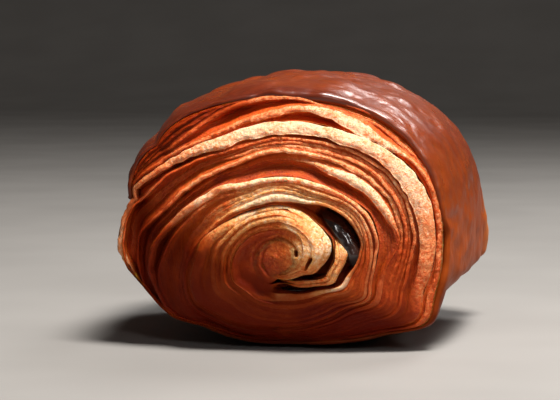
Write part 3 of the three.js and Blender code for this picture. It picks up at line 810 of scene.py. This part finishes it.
def bake_and_shade_at(q, across):
    """How much darker the end is coloured: real browning at the rim and where it flakes, and painted shade
    low down and to the left and low on the right.
    """
    right, up = across * np.cos(q * math.pi / 2), across * np.sin(q * math.pi / 2)
    # Painted shade: darker low down and to the left.
    low = smooth(-1.5, 9.5, -0.42 * right - 0.9 * up)
    rim = np.clip(across / reach(q), 0, 1) ** 3
    flakes = smooth(13.0, 13.3, q) * smooth(-7.0, -2.0, across - reach(q))
    # Painted shade low on the right.
    lower_right_shade = (smooth(0.3, -0.1, (q + 2) % 4 - 2) * smooth(-0.9, -0.6, (q + 2) % 4 - 2)
              * band(across, 12.0, 17.0, 29.0, 32.0))
    knob = bump(q, 9.97, 0.13) * smooth(33.0, 35.5, across)
    return np.clip((0.85 * low + 0.15 * rim) * (1 - 0.75 * knob) + 0.55 * flakes + 0.5 * lower_right_shade, 0, 1)


def heart(q, distance):
    """The smooth dough at the heart: how far behind the rounded end it lies, in mm, and its tone. It falls
    away to the lower left, with a fold over it, a tongue's edge on its right and a short slit. Its tone
    holds painted shade, darker towards the left and in the slit, and a painted highlight, a paler streak
    just below the middle."""
    q = (q + 0.5) % 4 - 0.5
    right = distance * np.cos(q * math.pi / 2)
    up = distance * np.sin(q * math.pi / 2)
    slope = 0.8 * right + 0.35 * up
    dip = 0.5 - 0.28 * slope - 0.02 * np.minimum(0, slope) ** 2
    fold = through([(0, 5.9), (0.5, 5.6), (1, 5.0), (1.5, 5.6), (2, 8.0), (2.5, 9.0)], q)
    near_fold = smooth(0.3, 0.8, q) * (1 - smooth(1.6, 2.2, q)) * bump(distance, fold, 0.7)
    winding, crest = 0.0, 0.0
    for start, low, mid, high in ((0.9, 3.4, 4.6, 6.2), (1.45, 2.6, 3.6, 5.2)):
        line = through([(start, low), (start + 0.7, mid), (start + 1.4, high)], q)
        shown = smooth(start - 0.2, start + 0.3, q) * (1 - smooth(start + 1.0, start + 1.5, q))
        winding = winding + shown * bump(distance, line, 0.3)
        crest = crest + shown * bump(distance, line + 0.6, 0.4)
    tongue = through([(0, 4.6), (0.3, 4.4), (0.7, 4.1), (1, 4.2), (1.4, 3.4)], q)
    step = (distance - tongue) / 0.35
    near_tongue = smooth(0.1, 0.3, q) * (1 - smooth(1.0, 1.35, q))
    slit = bump(distance, 4.4, 0.3) * smooth(-0.04, 0.02, q) * (1 - smooth(0.14, 0.2, q))
    place = np.stack([0.8 * right + 0.6 * up, 0 * right, 0.8 * up - 0.6 * right], -1)
    dip = dip + 0.35 * near_fold + 0.45 * near_tongue * np.exp(-step**2) + 2.4 * slit
    dip = dip + 0.3 * winding - 0.12 * crest - 0.35 * noise(place, 3.4, 5) - 0.1 * noise(place, 1.4, 6)
    mottle = 0.2 * rough(place, 2.4, 2, 8)
    tone = 0.6 - 0.7 * smooth(0.5, 5.0, right) + 0.9 * near_fold + 0.3 * near_tongue * np.exp(-step**2)
    highlight_streak = bump(right, -0.6, 0.8) * bump(up, -0.4 - 0.3 * right, 0.35)
    dip = dip - 0.2 * highlight_streak
    # Painted shade darkens the heart towards the left, and the paler streak just below the middle is a
    # painted highlight.
    tone = tone + 0.4 * winding - 0.3 * crest + 0.2 * smooth(0.0, -4.0, right) - 0.6 * highlight_streak
    # The slit is painted darker: painted shade in the slit.
    tone = tone - 0.5 * near_tongue * bump(distance - tongue, 0.7, 0.45) + 1.4 * slit + mottle
    return dip, tone


def core_solid(end):
    """The heart as a disk that reaches just under the innermost turn."""
    q = np.linspace(0, 4, 200, endpoint=False)
    under = through(INNER_TURN.inner, np.where(q > 2.3, q - 4, q))
    radius = mix(under, through(INNER_TURN.inner, q), smooth(2.1, 2.3, q) * (1 - smooth(2.6, 3.2, q))) + 0.9
    shares = np.concatenate([np.linspace(0.03, 1, 44), [1.0, 0.5, 0.03]])
    front = np.arange(len(shares)) < 44
    distance = shares[:, None] * radius[None]
    dip, tone = heart(q[None] + 0 * distance, distance)
    y = face_y(distance / reach(q)) + dip + 0.16 * smooth(0.75, 1.0, shares)[:, None]
    y = np.where(front[:, None], y, -HALF_LENGTH + 14.0)
    rows = in_space(q[None], distance * stretch(q, -RIM * end), y)
    rows[..., 1] *= end
    points, faces, uv = solid_from_loops(rows)
    zero = 0 * distance
    values = {"hollow": zero + 0.1, "tone": tone, "bake_and_shade": bake_and_shade_at(q + zero, distance), "leaf": zero,
              "strand": q + zero, "across": distance}
    return points, faces, uv, {key: with_ends(value) for key, value in values.items()}


def layer_material(dough):
    """Baked dough at the ends: pale granular edges, and walls that go from gold to orange and red-brown,
    with painted shade deep in the gaps and low down, and a painted glow deep in the gaps under the crust.
    Fine lamination is noise in (along the sheet, across it), stretched along the sheet."""
    material, n, shader = new_material("layered_dough")
    place = n.add("ShaderNodeTexCoord").outputs["Object"]
    hollow, tone, bake_and_shade, leaf, strand, across = (
        n.attribute(x) for x in ("hollow", "tone", "bake_and_shade", "leaf", "strand", "across"))
    stretched = n.add("ShaderNodeCombineXYZ",
                      {"X": n.math("MULTIPLY", strand, 0.09), "Y": across, "Z": 0.0}).outputs[0]
    laminae = n.add("ShaderNodeTexNoise",
                    {"Vector": stretched, "Scale": 2.6, "Detail": 3.0, "Roughness": 0.6}).outputs["Fac"]
    grain = n.noise(place, 0.7, 3.0, 0.7)
    broad = n.noise(place, 5.0, 3.0)
    golden = n.ramp(across, 12.0, 23.0, 1.0, 0.0)
    walls = n.ramp(hollow, 0.04, 0.35)
    lines = n.math("MULTIPLY", n.ramp(laminae, 0.3, 0.7, -0.12, 0.12), n.math("MULTIPLY", leaf, walls))
    shift = n.math("ADD", n.ramp(broad, 0.3, 0.7, -0.14, 0.14), lines)
    crumbly = n.ramp(bake_and_shade, 0.1, 0.6, 1.0, 0.25)
    speckle = n.math("MULTIPLY", n.ramp(grain, 0.3, 0.75, -0.16, 0.2), crumbly)
    baked = n.math("ADD", n.math("MULTIPLY_ADD", tone, 0.5, 0.42),
                   n.math("MULTIPLY_ADD", shift, 0.7, speckle))
    # Edges browner low down (painted shade) and at the rim and in the flakes (real browning).
    baked = n.math("MULTIPLY_ADD", bake_and_shade, 0.25, baked)
    pale = n.mix(golden, tuple(dough.pale), tuple(dough.pale_gold))
    light = n.mix(golden, colour("F0965E"), colour("EBA25E"))
    amber = n.mix(golden, colour("DA5E20"), colour("D4641E"))
    edge = n.mix(n.ramp(baked, -0.05, 0.25), pale, light)
    edge = n.mix(n.ramp(baked, 0.2, 0.6), edge, amber)
    edge = n.mix(n.ramp(baked, 0.5, 1.0), edge, tuple(dough.brown))
    dark = n.math("ADD", n.math("MULTIPLY_ADD", tone, 0.5, 0.42), n.math("MULTIPLY", shift, 0.9))
    wall = n.mix(golden, colour("F08C34"), colour("E48C3C"))
    wall = n.mix(n.ramp(dark, 0.0, 0.45), wall, n.mix(golden, colour("D65C14"), colour("C85A16")))
    wall = n.mix(n.ramp(dark, 0.42, 1.1), wall, tuple(dough.wall_brown))
    side = n.mix(walls, edge, wall)
    # Deep in each gap the wall is painted darker red-orange: painted shade.
    side = n.mix(n.ramp(hollow, 0.6, 1.0, 0.0, 0.4), side, colour("B43E08"))
    # Deep gaps near the crust are painted bright orange: a painted glow of light through the dough.
    painted_glow = n.math("MULTIPLY", n.ramp(hollow, 0.25, 0.7), n.ramp(across, 27.0, 33.0, 0.0, 0.6))
    side = n.mix(painted_glow, side, colour("D8480A"))
    # Multiplied darker low down and to the left and low on the right (painted shade), and at the rim and in
    # the flakes (real browning).
    side = n.mix(n.math("MULTIPLY", bake_and_shade, 0.95), side,
                 n.mix(1.0, side, (0.23, 0.075, 0.042, 1.0), "MULTIPLY"))
    n.put(shader.inputs["Base Color"], side)
    n.put(shader.inputs["Roughness"], n.ramp(grain, 0.3, 0.7, 0.42, 0.62))
    n.put(shader.inputs["Specular IOR Level"], n.ramp(bake_and_shade, 0.1, 0.8, 0.25, 0.07))
    shader.inputs["Subsurface Weight"].default_value = 0.6
    shader.inputs["Subsurface Radius"].default_value = (1.0, 0.6, 0.4)
    shader.inputs["Subsurface Scale"].default_value = 0.0012
    height = n.math("MULTIPLY", leaf, n.math("MULTIPLY", walls, 0.6))
    height = n.math("MULTIPLY_ADD", laminae, height, n.math("MULTIPLY", grain, crumbly))
    relief = n.add("ShaderNodeBump", {"Height": height, "Strength": 1.0, "Distance": 0.00058})
    n.put(shader.inputs["Normal"], relief.outputs["Normal"])
    return material


# ---- the crust ----


def lip_profile():
    """The lap's edge in section, as (mm along the outline, mm outwards): down over the sheet's end, back
    under it and out onto the turn below. Along the outline is counted from the lap, towards low."""
    return np.array([
        (-1.6, 0.0), (-0.8, 0.06), (-0.2, 0.05), (0.25, -0.1), (0.5, -0.4), (0.5, -0.8), (0.25, -1.15),
        (-0.1, -1.4), (0.3, -1.7), (0.9, -1.72), (1.6, -1.65),
    ])


def crust_profile():
    """Rows from the middle of the front's hidden disk, over the front rim, along the side and the same at
    the back: (share of the way out, share of the crust's thickness inwards, y in mm, share of half the
    thickness towards the end, share of the skin's relief)."""
    rim = HALF_LENGTH - DOME
    disk = [(share, 0.0, -rim + 8.0 - 6.0 * (1 - share), 0.0, 0.0) for share in (0.04, 0.3, 0.6, 0.85)]
    wall = [(1.0, 1.0, y, 0.0, 0.0) for y in np.linspace(-rim + 8.0, -rim + 0.9, 7)]
    turn = np.linspace(-80, 80, 13) * math.pi / 180
    lip = [(1.0, (1 - math.sin(a)) / 2, -rim + 0.7, math.cos(a), 0.5 + a / 2.8) for a in turn]
    side = [(1.0, 0.0, y, 0.0, 1.0) for y in -rim + 1.2 + (rim - 1.2) * np.linspace(0, 1, 74)[1:]]
    half = np.array(disk + wall + lip + side)
    mirrored = half[:-1][::-1] * np.array([1, 1, -1, -1, 1])
    return np.concatenate([half, mirrored])


def crust_relief(points):
    """Soft blisters and wrinkles of the glazed skin, in mm: never far outwards, so the box is kept."""
    blister = np.maximum(0, rough(points, 7.5, 2, 31) - 0.05)
    wrinkle = noise(points * np.array([0.5, 1.3, 0.5]), 4.2, 35)
    relief = (1.15 * blister + 0.22 * noise(points, 3.1, 33) + 0.2 * wrinkle
              + 0.05 * noise(points, 1.4, 39) - 0.28)
    return np.where(relief > 0, SKIN * np.tanh(relief / SKIN), relief)


def crust_solid():
    """The skin from the front's hidden disk round both rims to the back's: its outline is reach times
    stretch, sunk past the lap, flared at the far right, with crust_relief on its outer side."""
    profile = crust_profile()
    share, wall, y, bead, skin = profile.T
    lip = lip_profile()
    plain = 420
    # Columns start just past the lap and go once round, and the lip's own columns close the loop.
    ends = 1.6 / GIRTH * 4
    q = np.concatenate([LAP + ends + np.linspace(0, 4 - 2 * ends, plain + 1)[1:-1],
                        LAP + 4 + lip[:, 0] / GIRTH * 4])
    out = np.concatenate([np.zeros(plain - 1), lip[:, 1]])
    past = np.arange(plain - 1) / (plain - 1) * GIRTH
    step = np.concatenate([-sunk(past), np.zeros(len(lip))])
    wander = 1.6 * along_line(y, 26.0, 3) + 0.6 * along_line(y, 7.0, 4)
    near = np.exp(-(np.minimum(np.mod(q - LAP, 4), np.mod(LAP - q, 4)) / 0.5) ** 2)
    quarter = q[None] + near[None] * wander[:, None] / 37.0 / (math.pi / 2)
    radius = reach(quarter) + (out + step)[None] * smooth(0.6, 1.0, share)[:, None]
    # The rims wander in and out, and the far right rim flares.
    front = np.exp(-((y + HALF_LENGTH - DOME) / 9.0) ** 2)[:, None]
    back = np.exp(-((y - HALF_LENGTH + DOME) / 9.0) ** 2)[:, None]
    rim_at = 4 * np.stack([np.cos(quarter * math.pi / 2), np.sin(quarter * math.pi / 2), 0 * quarter], -1)
    shift = 0.9 * noise(rim_at, 1.7, 6) + 0.45 * noise(rim_at, 0.5, 7)
    along = y[:, None] + shift * (front * 1.0 - back * 1.0) * smooth(0.5, 1, share)[:, None]
    around = (quarter + 2) % 4 - 2
    lip_share = band(around, 0.05, 0.3, 0.95, 1.3)
    along = along - 0.6 * front * lip_share * smooth(0.5, 1, share)[:, None]
    thick = CRUST_THICK + LIP_EXTRA * lip_share * (1 + 0.4 * noise(rim_at, 1.2, 8)) * (y < 0)[:, None]
    along = along - bead[:, None] * thick / 2
    flare = band(around, -0.17, -0.08, 0.0, 0.3) * smooth(18, 30, y)[:, None]
    radius = radius + 2.2 * flare * smooth(0.6, 1.0, share)[:, None]
    distance = share[:, None] * (radius - wall[:, None] * thick) * stretch(quarter, y[:, None])
    rows = in_space(quarter, distance, along)
    relief = crust_relief(rows) * skin[:, None] * smooth(0.0, 6.0, rows[..., 2])
    rows = in_space(quarter, distance + relief * share[:, None], along)
    points, faces, uv = solid_from_loops(rows)
    inside = smooth(0.75, 1.0, wall)[:, None] + 0 * quarter
    inside = np.maximum(inside, (share < 0.99)[:, None])
    top = smooth(5, 45, rows[..., 2])
    # Painted shade: the skin is darker a few mm back from both rims, and darker low down, where that is
    # partly browning; on the right of the rims an amber band comes instead.
    fade = 3.2 + 1.8 * noise(rim_at, 1.4, 12) + 9.0 * smooth(0.8, 1.4, around) * (y < 0)[:, None]
    edge = np.exp(-((np.maximum(0, HALF_LENGTH - DOME - np.abs(along)) / fade) ** 2))
    amber = band(around, -0.1, 0.12, 0.35, 0.65)
    edge = edge * (smooth(0.5, 0.85, around) + 0.8 * smooth(0.0, -0.25, around) - amber)
    edge = np.maximum(0.8 * edge * (1 - flare), smooth(20, 5, rows[..., 2]) * (1 - 0.6 * flare))
    beyond = 0 * lip[:, 1] + np.where(lip[:, 1] < -1.2, 1.0, 60.0)
    covered = np.exp(-np.concatenate([past, beyond]) / 5.0)[None] + 0 * quarter
    covered = np.maximum(covered, 0.7 * flare * smooth(21, 31, y)[:, None])
    values = {"inside": inside, "top": top, "edge": edge, "covered": covered}
    values = {key: with_ends(value) for key, value in values.items()}
    return points, faces, uv, values


def crust_material(crust):
    """Egg-washed crust: glossy red-brown where it is highest, more orange down the sides, with blisters. It
    is painted darker at the rims, a painted shade, and low down, partly browning and partly painted shade.
    """
    material, n, shader = new_material("glazed_crust")
    place = n.add("ShaderNodeTexCoord").outputs["Object"]
    inside, top, edge, covered = (n.attribute(name) for name in ("inside", "top", "edge", "covered"))
    broad = n.noise(place, 8.0, 2.0, 0.5, 0.3)
    patch = n.noise(place, 2.6, 1.0, 0.5)
    fine = n.noise(place, 0.9, 2.0, 0.5)
    browned = n.math("ADD", n.math("MULTIPLY", top, 0.55), n.ramp(broad, 0.25, 0.75, -0.04, 0.12))
    browned = n.math("ADD", browned, n.ramp(patch, 0.3, 0.75, -0.03, 0.05), clamp=True)
    skin = n.mix(n.ramp(browned, 0.0, 0.4), tuple(crust.side), tuple(crust.high))
    skin = n.mix(n.ramp(browned, 0.3, 0.85), skin, tuple(crust.top))
    skin = n.mix(n.math("MULTIPLY", covered, 0.8), skin, tuple(crust.covered))
    # Painted shade: darker at the rims, and low down partly browning, partly painted shade.
    skin = n.mix(n.ramp(edge, 0.0, 1.0, 0.0, 0.75), skin, tuple(crust.edge))
    skin = n.mix(n.ramp(edge, 0.0, -0.8, 0.0, 0.7), skin, colour("C4560C"))
    skin = n.mix(inside, skin, colour("B84A10"))
    n.put(shader.inputs["Base Color"], skin)
    gloss = n.ramp(broad, 0.3, 0.7, 0.27, 0.37)
    dull = n.math("MAXIMUM", covered, n.ramp(top, 0.4, 0.8, 0.5, 0.0))
    n.put(shader.inputs["Roughness"], n.math("MULTIPLY_ADD", dull, 0.25, gloss))
    n.put(shader.inputs["IOR"], n.ramp(top, 0.5, 0.95, 1.18, 1.5))
    n.put(shader.inputs["Specular IOR Level"], n.ramp(top, 0.5, 0.95, 0.22, 0.45))
    n.put(shader.inputs["Coat Weight"], n.ramp(top, 0.5, 0.95, 0.02, 0.18))
    shader.inputs["Coat Roughness"].default_value = 0.16
    shader.inputs["Subsurface Weight"].default_value = 0.15
    shader.inputs["Subsurface Radius"].default_value = (1.0, 0.35, 0.1)
    shader.inputs["Subsurface Scale"].default_value = 0.0015
    height = n.math("MULTIPLY_ADD", patch, 1.6, n.math("MULTIPLY", fine, 0.4))
    relief = n.add("ShaderNodeBump", {"Height": height, "Strength": 0.25, "Distance": 0.0005})
    n.put(shader.inputs["Normal"], relief.outputs["Normal"])
    return material


# ---- chocolate ----


# Outward is the way that the bend bulges, in degrees. At both ends a baton stops about end_gap short.
BATONS = (
    ("baton_right", "chocolate_baton_right",
     {"centre": (15.7, 23.6), "outward": 34, "width": 15.5, "thick": 5.8, "bend": 16, "end_gap": 3.5,
      "end_seed": 41}),
    ("baton_low", "chocolate_baton_low",
     {"centre": (4.4, 11.8), "outward": -90, "width": 9.0, "thick": 2.8, "bend": 18, "end_gap": 6.0,
      "end_seed": 47}),
)


def baton_solid(centre, outward, width, thick, bend, end_gap, end_seed):
    """A bent bar with melted ends. Across the bend it is a stack of loops in the plane of thickness and
    length, so that both end faces have enough points for their ripples."""
    facing = math.radians(outward)
    pivot = np.array(centre) - bend * np.array([math.cos(facing), math.sin(facing)])
    half = HALF_LENGTH - end_gap
    t = np.sin(np.linspace(-0.5, 0.5, 70) * math.pi)
    angle = facing + t * width / 2 / bend
    full = (thick / 2 * np.sqrt(np.maximum(0, 1 - np.abs(t) ** 3.2))
            * (1 + 0.05 * along_line(t * width, 3.0, end_seed)))
    w = np.linspace(-1, 1, 26)
    face = np.stack([w, 0 * w - 1], -1)
    length = np.linspace(-1, 1, 18)[1:-1]
    loop = np.concatenate([face, np.stack([0 * length + 1, length], -1), -face,
                           np.stack([0 * length - 1, -length], -1)])
    side, along = loop[:, 0][None], loop[:, 1][None]
    across = side * full[:, None]
    bulge = 0.5 * (1 - side**2) * (1 - np.abs(t[:, None]) ** 3)
    at = np.stack([np.broadcast_to(t[:, None] * width / 2, across.shape), across,
                   3.0 * along + 0 * across], -1)
    ripple = 0.24 * rough(at, 2.6, 2, end_seed) + 0.09 * noise(at, 1.1, end_seed + 2)
    slope = through([(-1, -0.9), (-0.75, 0.25), (-0.6, 0.35), (0, -0.3), (0.35, -1.4), (0.7, -2.8),
                     (1, -3.2)], side)
    slope = slope - 1.6 * t[:, None] ** 4 - 0.03 * t[:, None] * width
    at_face = (np.abs(along) > 0.999).astype(float)
    y = along * (half + (bulge + ripple + slope) * at_face - 0.9)
    radius = bend + across
    x = pivot[0] + radius * np.cos(angle)[:, None]
    z = pivot[1] + radius * np.sin(angle)[:, None]
    points, faces, uv = solid_from_loops(np.stack([x, y, z], -1))
    melt = smooth(-0.7, -0.35, t)[:, None] * (1 - smooth(0.2, 0.6, side))
    return points, faces, uv, {"melt": with_ends(melt)}


def chocolate_material(batons):
    """Dark chocolate that has melted and set: near black, glossy, with duller patches of bloom."""
    material, n, shader = new_material("dark_chocolate")
    place = n.add("ShaderNodeTexCoord").outputs["Object"]
    patch = n.noise(place, 3.0, 3.0, 0.6)
    fine = n.noise(place, 0.5, 3.0, 0.6)
    n.put(shader.inputs["Base Color"],
          n.mix(n.ramp(patch, 0.35, 0.75), tuple(batons.dark), tuple(batons.bloom)))
    melt = n.attribute("melt")
    dull = n.math("MULTIPLY_ADD", melt, -0.38, 0.5)
    n.put(shader.inputs["Roughness"], n.math("ADD", dull, n.ramp(fine, 0.3, 0.7, 0.0, 0.12)))
    n.put(shader.inputs["Specular IOR Level"], n.ramp(melt, 0.0, 1.0, 0.15, 0.6))
    n.put(shader.inputs["Coat Weight"], n.ramp(melt, 0.3, 1.0, 0.0, 0.9))
    shader.inputs["Coat Roughness"].default_value = 0.12
    relief = n.add("ShaderNodeBump", {"Height": fine, "Strength": 0.15, "Distance": 0.0003})
    n.put(shader.inputs["Normal"], relief.outputs["Normal"])
    return material


# ---- stage ----


def aim(thing, target):
    """Turns a lamp or a camera towards a place."""
    direction = Vector(target) - thing.location
    thing.rotation_euler = direction.to_track_quat("-Z", "Y").to_euler()


def area_light(name, place, target, size, power, tint=(1, 1, 1)):
    """A soft rectangular lamp that points at a place."""
    light = bpy.data.lights.new(name, "AREA")
    light.shape = "RECTANGLE"
    light.size, light.size_y = size
    light.energy = power
    light.color = tint
    lamp = bpy.data.objects.new(name, light)
    bpy.context.scene.collection.objects.link(lamp)
    lamp.location = place
    aim(lamp, target)
    return lamp


def floor_object():
    """A floor that curves up behind into a wall: a strip along x through points of the curve."""
    turn = np.linspace(0, math.pi / 2, 24)
    line = np.concatenate([[(-4.0, 0.0)],
                           np.stack([1.2 + 0.8 * np.sin(turn), 0.8 - 0.8 * np.cos(turn)], -1),
                           [(2.0, 3.0)]])
    points = [(x, y, z) for y, z in line for x in (-4.0, 4.0)]
    faces = [(2 * i, 2 * i + 1, 2 * i + 3, 2 * i + 2) for i in range(len(line) - 1)]
    mesh = bpy.data.meshes.new("floor")
    mesh.from_pydata(points, [], faces)
    mesh.polygons.foreach_set("use_smooth", np.ones(len(faces), bool))
    mesh.materials.append(floor_material())
    floor = bpy.data.objects.new("floor", mesh)
    bpy.context.scene.collection.objects.link(floor)
    return floor


def floor_material():
    """A plain pale matt floor with faint clouds."""
    material, n, shader = new_material("pale_floor")
    place = n.add("ShaderNodeTexCoord").outputs["Object"]
    cloud = n.noise(place, 60.0, 2.0)
    n.put(shader.inputs["Base Color"], n.mix(n.ramp(cloud, 0.3, 0.7), colour("82807E"), colour("888684")))
    shader.inputs["Roughness"].default_value = 0.7
    return material


# ---- operators ----


def colour_setting(name, code, description):
    """A colour that a user can change, from an sRGB code."""
    return bpy.props.FloatVectorProperty(name=name, description=description, subtype="COLOR", size=4,
                                         min=0.0, max=1.0, default=colour(code))


class PastryStage(bpy.types.PropertyGroup):
    """Where the camera stands"""

    azimuth: bpy.props.FloatProperty(name="Camera azimuth", description="Round from the front end",
                                     default=math.radians(9.2), subtype="ANGLE")
    elevation: bpy.props.FloatProperty(name="Camera elevation", description="Above the horizon",
                                       default=math.radians(4.2), subtype="ANGLE")
    distance: bpy.props.FloatProperty(name="Camera distance", description="From the middle of the roll",
                                      default=0.542, unit="LENGTH")
    lens: bpy.props.FloatProperty(name="Lens", description="Focal length in millimetres", default=160.0)


class PastryLayers(bpy.types.PropertyGroup):
    """The dough that shows at the ends"""

    spacing: bpy.props.FloatProperty(name="Station spacing", description="Between profiles along the sheet",
                                     default=0.00044, unit="LENGTH")
    pale: colour_setting("Pale edges", "F9CBA4", "Least baked edges of the outer layers")
    pale_gold: colour_setting("Pale golden edges", "F7D3AC", "Least baked edges near the heart")
    brown: colour_setting("Brown edges", "AC3A0A", "Most baked edges")
    wall_brown: colour_setting("Brown gaps", "8E2C0C", "Most baked walls of the gaps")


class PastryCrust(bpy.types.PropertyGroup):
    """The glazed skin"""

    side: colour_setting("Sides", "A04817", "Crust low on the sides")
    high: colour_setting("Upper crust", "843812", "Crust higher up")
    top: colour_setting("Top", "5E210D", "Crust where it baked darkest")
    covered: colour_setting("Covered strip", "D08444", "Crust that another flap covered")
    # The rims' painted shade, also used low down, where it is partly browning.
    edge: colour_setting("Dark edge", "4E1406", "Crust at the rims")


class PastryBatons(bpy.types.PropertyGroup):
    """The chocolate"""

    dark: colour_setting("Chocolate", "190B08", "Where it has melted")
    bloom: colour_setting("Bloom", "2E1812", "Its duller patches")


class OBJECT_OT_pastry_stage(bpy.types.Operator):
    """Adds the floor, the lights and the camera"""

    bl_idname = "object.pastry_stage"
    bl_label = "Stage"

    def execute(self, context):
        stage = context.scene.pastry_stage
        floor_object()
        world = bpy.data.worlds.new("studio")
        world.use_nodes = True
        world.node_tree.nodes["Background"].inputs["Color"].default_value = (1.0, 0.9, 0.82, 1)
        world.node_tree.nodes["Background"].inputs["Strength"].default_value = 0.06
        context.scene.world = world
        middle = (0, 0, HEIGHT * MM / 2)
        area_light("key", (0.17, -0.15, 0.6), middle, (0.2, 0.2), 9.0, (1.0, 0.95, 0.89))
        area_light("side", (0.45, -0.23, 0.42), middle, (0.12, 0.12), 0.4, (1.0, 0.97, 0.93))
        area_light("glint", (0.24, -0.72, 0.42), middle, (0.12, 0.12), 0.8, (1.0, 0.98, 0.96))
        area_light("front_fill", (0.25, -0.8, 0.45), middle, (0.6, 0.5), 0.1, (1.0, 0.86, 0.74))
        area_light("rim", (0.2, 0.4, 0.5), middle, (0.2, 0.2), 2.0, (1.0, 0.98, 0.95))
        camera = bpy.data.objects.new("camera", bpy.data.cameras.new("camera"))
        context.scene.collection.objects.link(camera)
        camera.data.lens = stage.lens
        back = Vector((math.sin(stage.azimuth) * math.cos(stage.elevation),
                       -math.cos(stage.azimuth) * math.cos(stage.elevation), math.sin(stage.elevation)))
        camera.location = Vector(middle) + back * stage.distance
        aim(camera, (-0.00513, -0.00083, 0.02815))
        context.scene.camera = camera
        context.scene.view_settings.view_transform = "Standard"
        return {"FINISHED"}


class OBJECT_OT_pastry_layers(bpy.types.Operator):
    """Adds the flaky layers at both ends of the roll"""

    bl_idname = "object.pastry_layers"
    bl_label = "Layers"

    def execute(self, context):
        settings = context.scene.pastry_layers
        spacing = settings.spacing / MM
        dough = layer_material(settings)
        for name, end, seed in (("front_layers", FRONT, 1), ("back_layers", BACK, 60)):
            solids = [turn_solid(turn, end, spacing, seed + 7 * i) for i, turn in enumerate(TURNS)]
            piece = mesh_object(name, [core_solid(end)] + solids, dough)
            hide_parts("pastry")
            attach(piece, "root")
        return {"FINISHED"}


class OBJECT_OT_pastry_crust(bpy.types.Operator):
    """Adds the glazed crust round the roll"""

    bl_idname = "object.pastry_crust"
    bl_label = "Crust"

    def execute(self, context):
        piece = mesh_object("crust", [crust_solid()], crust_material(context.scene.pastry_crust))
        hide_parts("pastry")
        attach(piece, "root")
        return {"FINISHED"}


class OBJECT_OT_pastry_batons(bpy.types.Operator):
    """Adds the two chocolate batons"""

    bl_idname = "object.pastry_batons"
    bl_label = "Chocolate batons"

    def execute(self, context):
        chocolate = chocolate_material(context.scene.pastry_batons)
        for name, node, shape in BATONS:
            piece = mesh_object(name, [baton_solid(**shape)], chocolate)
            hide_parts(node)
            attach(piece, "root")
        return {"FINISHED"}


class VIEW3D_PT_pastry(bpy.types.Panel):
    """The add-on's buttons and settings"""

    bl_label = "Pain au chocolat"
    bl_space_type = "VIEW_3D"
    bl_region_type = "UI"
    bl_category = "Pastry"

    def draw(self, context):
        column = self.layout.column()
        for operator in OPERATORS:
            column.operator(operator.bl_idname)
        for name, group in SETTINGS.items():
            for setting in group.__annotations__:
                column.prop(getattr(context.scene, name), setting)


OPERATORS = (OBJECT_OT_pastry_stage, OBJECT_OT_pastry_layers, OBJECT_OT_pastry_crust,
             OBJECT_OT_pastry_batons)
SETTINGS = {"pastry_stage": PastryStage, "pastry_layers": PastryLayers, "pastry_crust": PastryCrust,
            "pastry_batons": PastryBatons}
CLASSES = (*SETTINGS.values(), *OPERATORS, VIEW3D_PT_pastry)


def register():
    """Adds the classes and the settings."""
    for item in CLASSES:
        bpy.utils.register_class(item)
    for name, group in SETTINGS.items():
        setattr(bpy.types.Scene, name, bpy.props.PointerProperty(type=group))


def unregister():
    """Takes the settings and the classes away again."""
    for name in reversed(SETTINGS):
        delattr(bpy.types.Scene, name)
    for item in reversed(CLASSES):
        bpy.utils.unregister_class(item)


def main():
    """Builds the stage and the pieces."""
    register()
    bpy.ops.object.pastry_stage()
    bpy.ops.object.pastry_layers()
    bpy.ops.object.pastry_crust()
    bpy.ops.object.pastry_batons()
    bpy.context.view_layer.update()


if __name__ == "__main__":
    main()
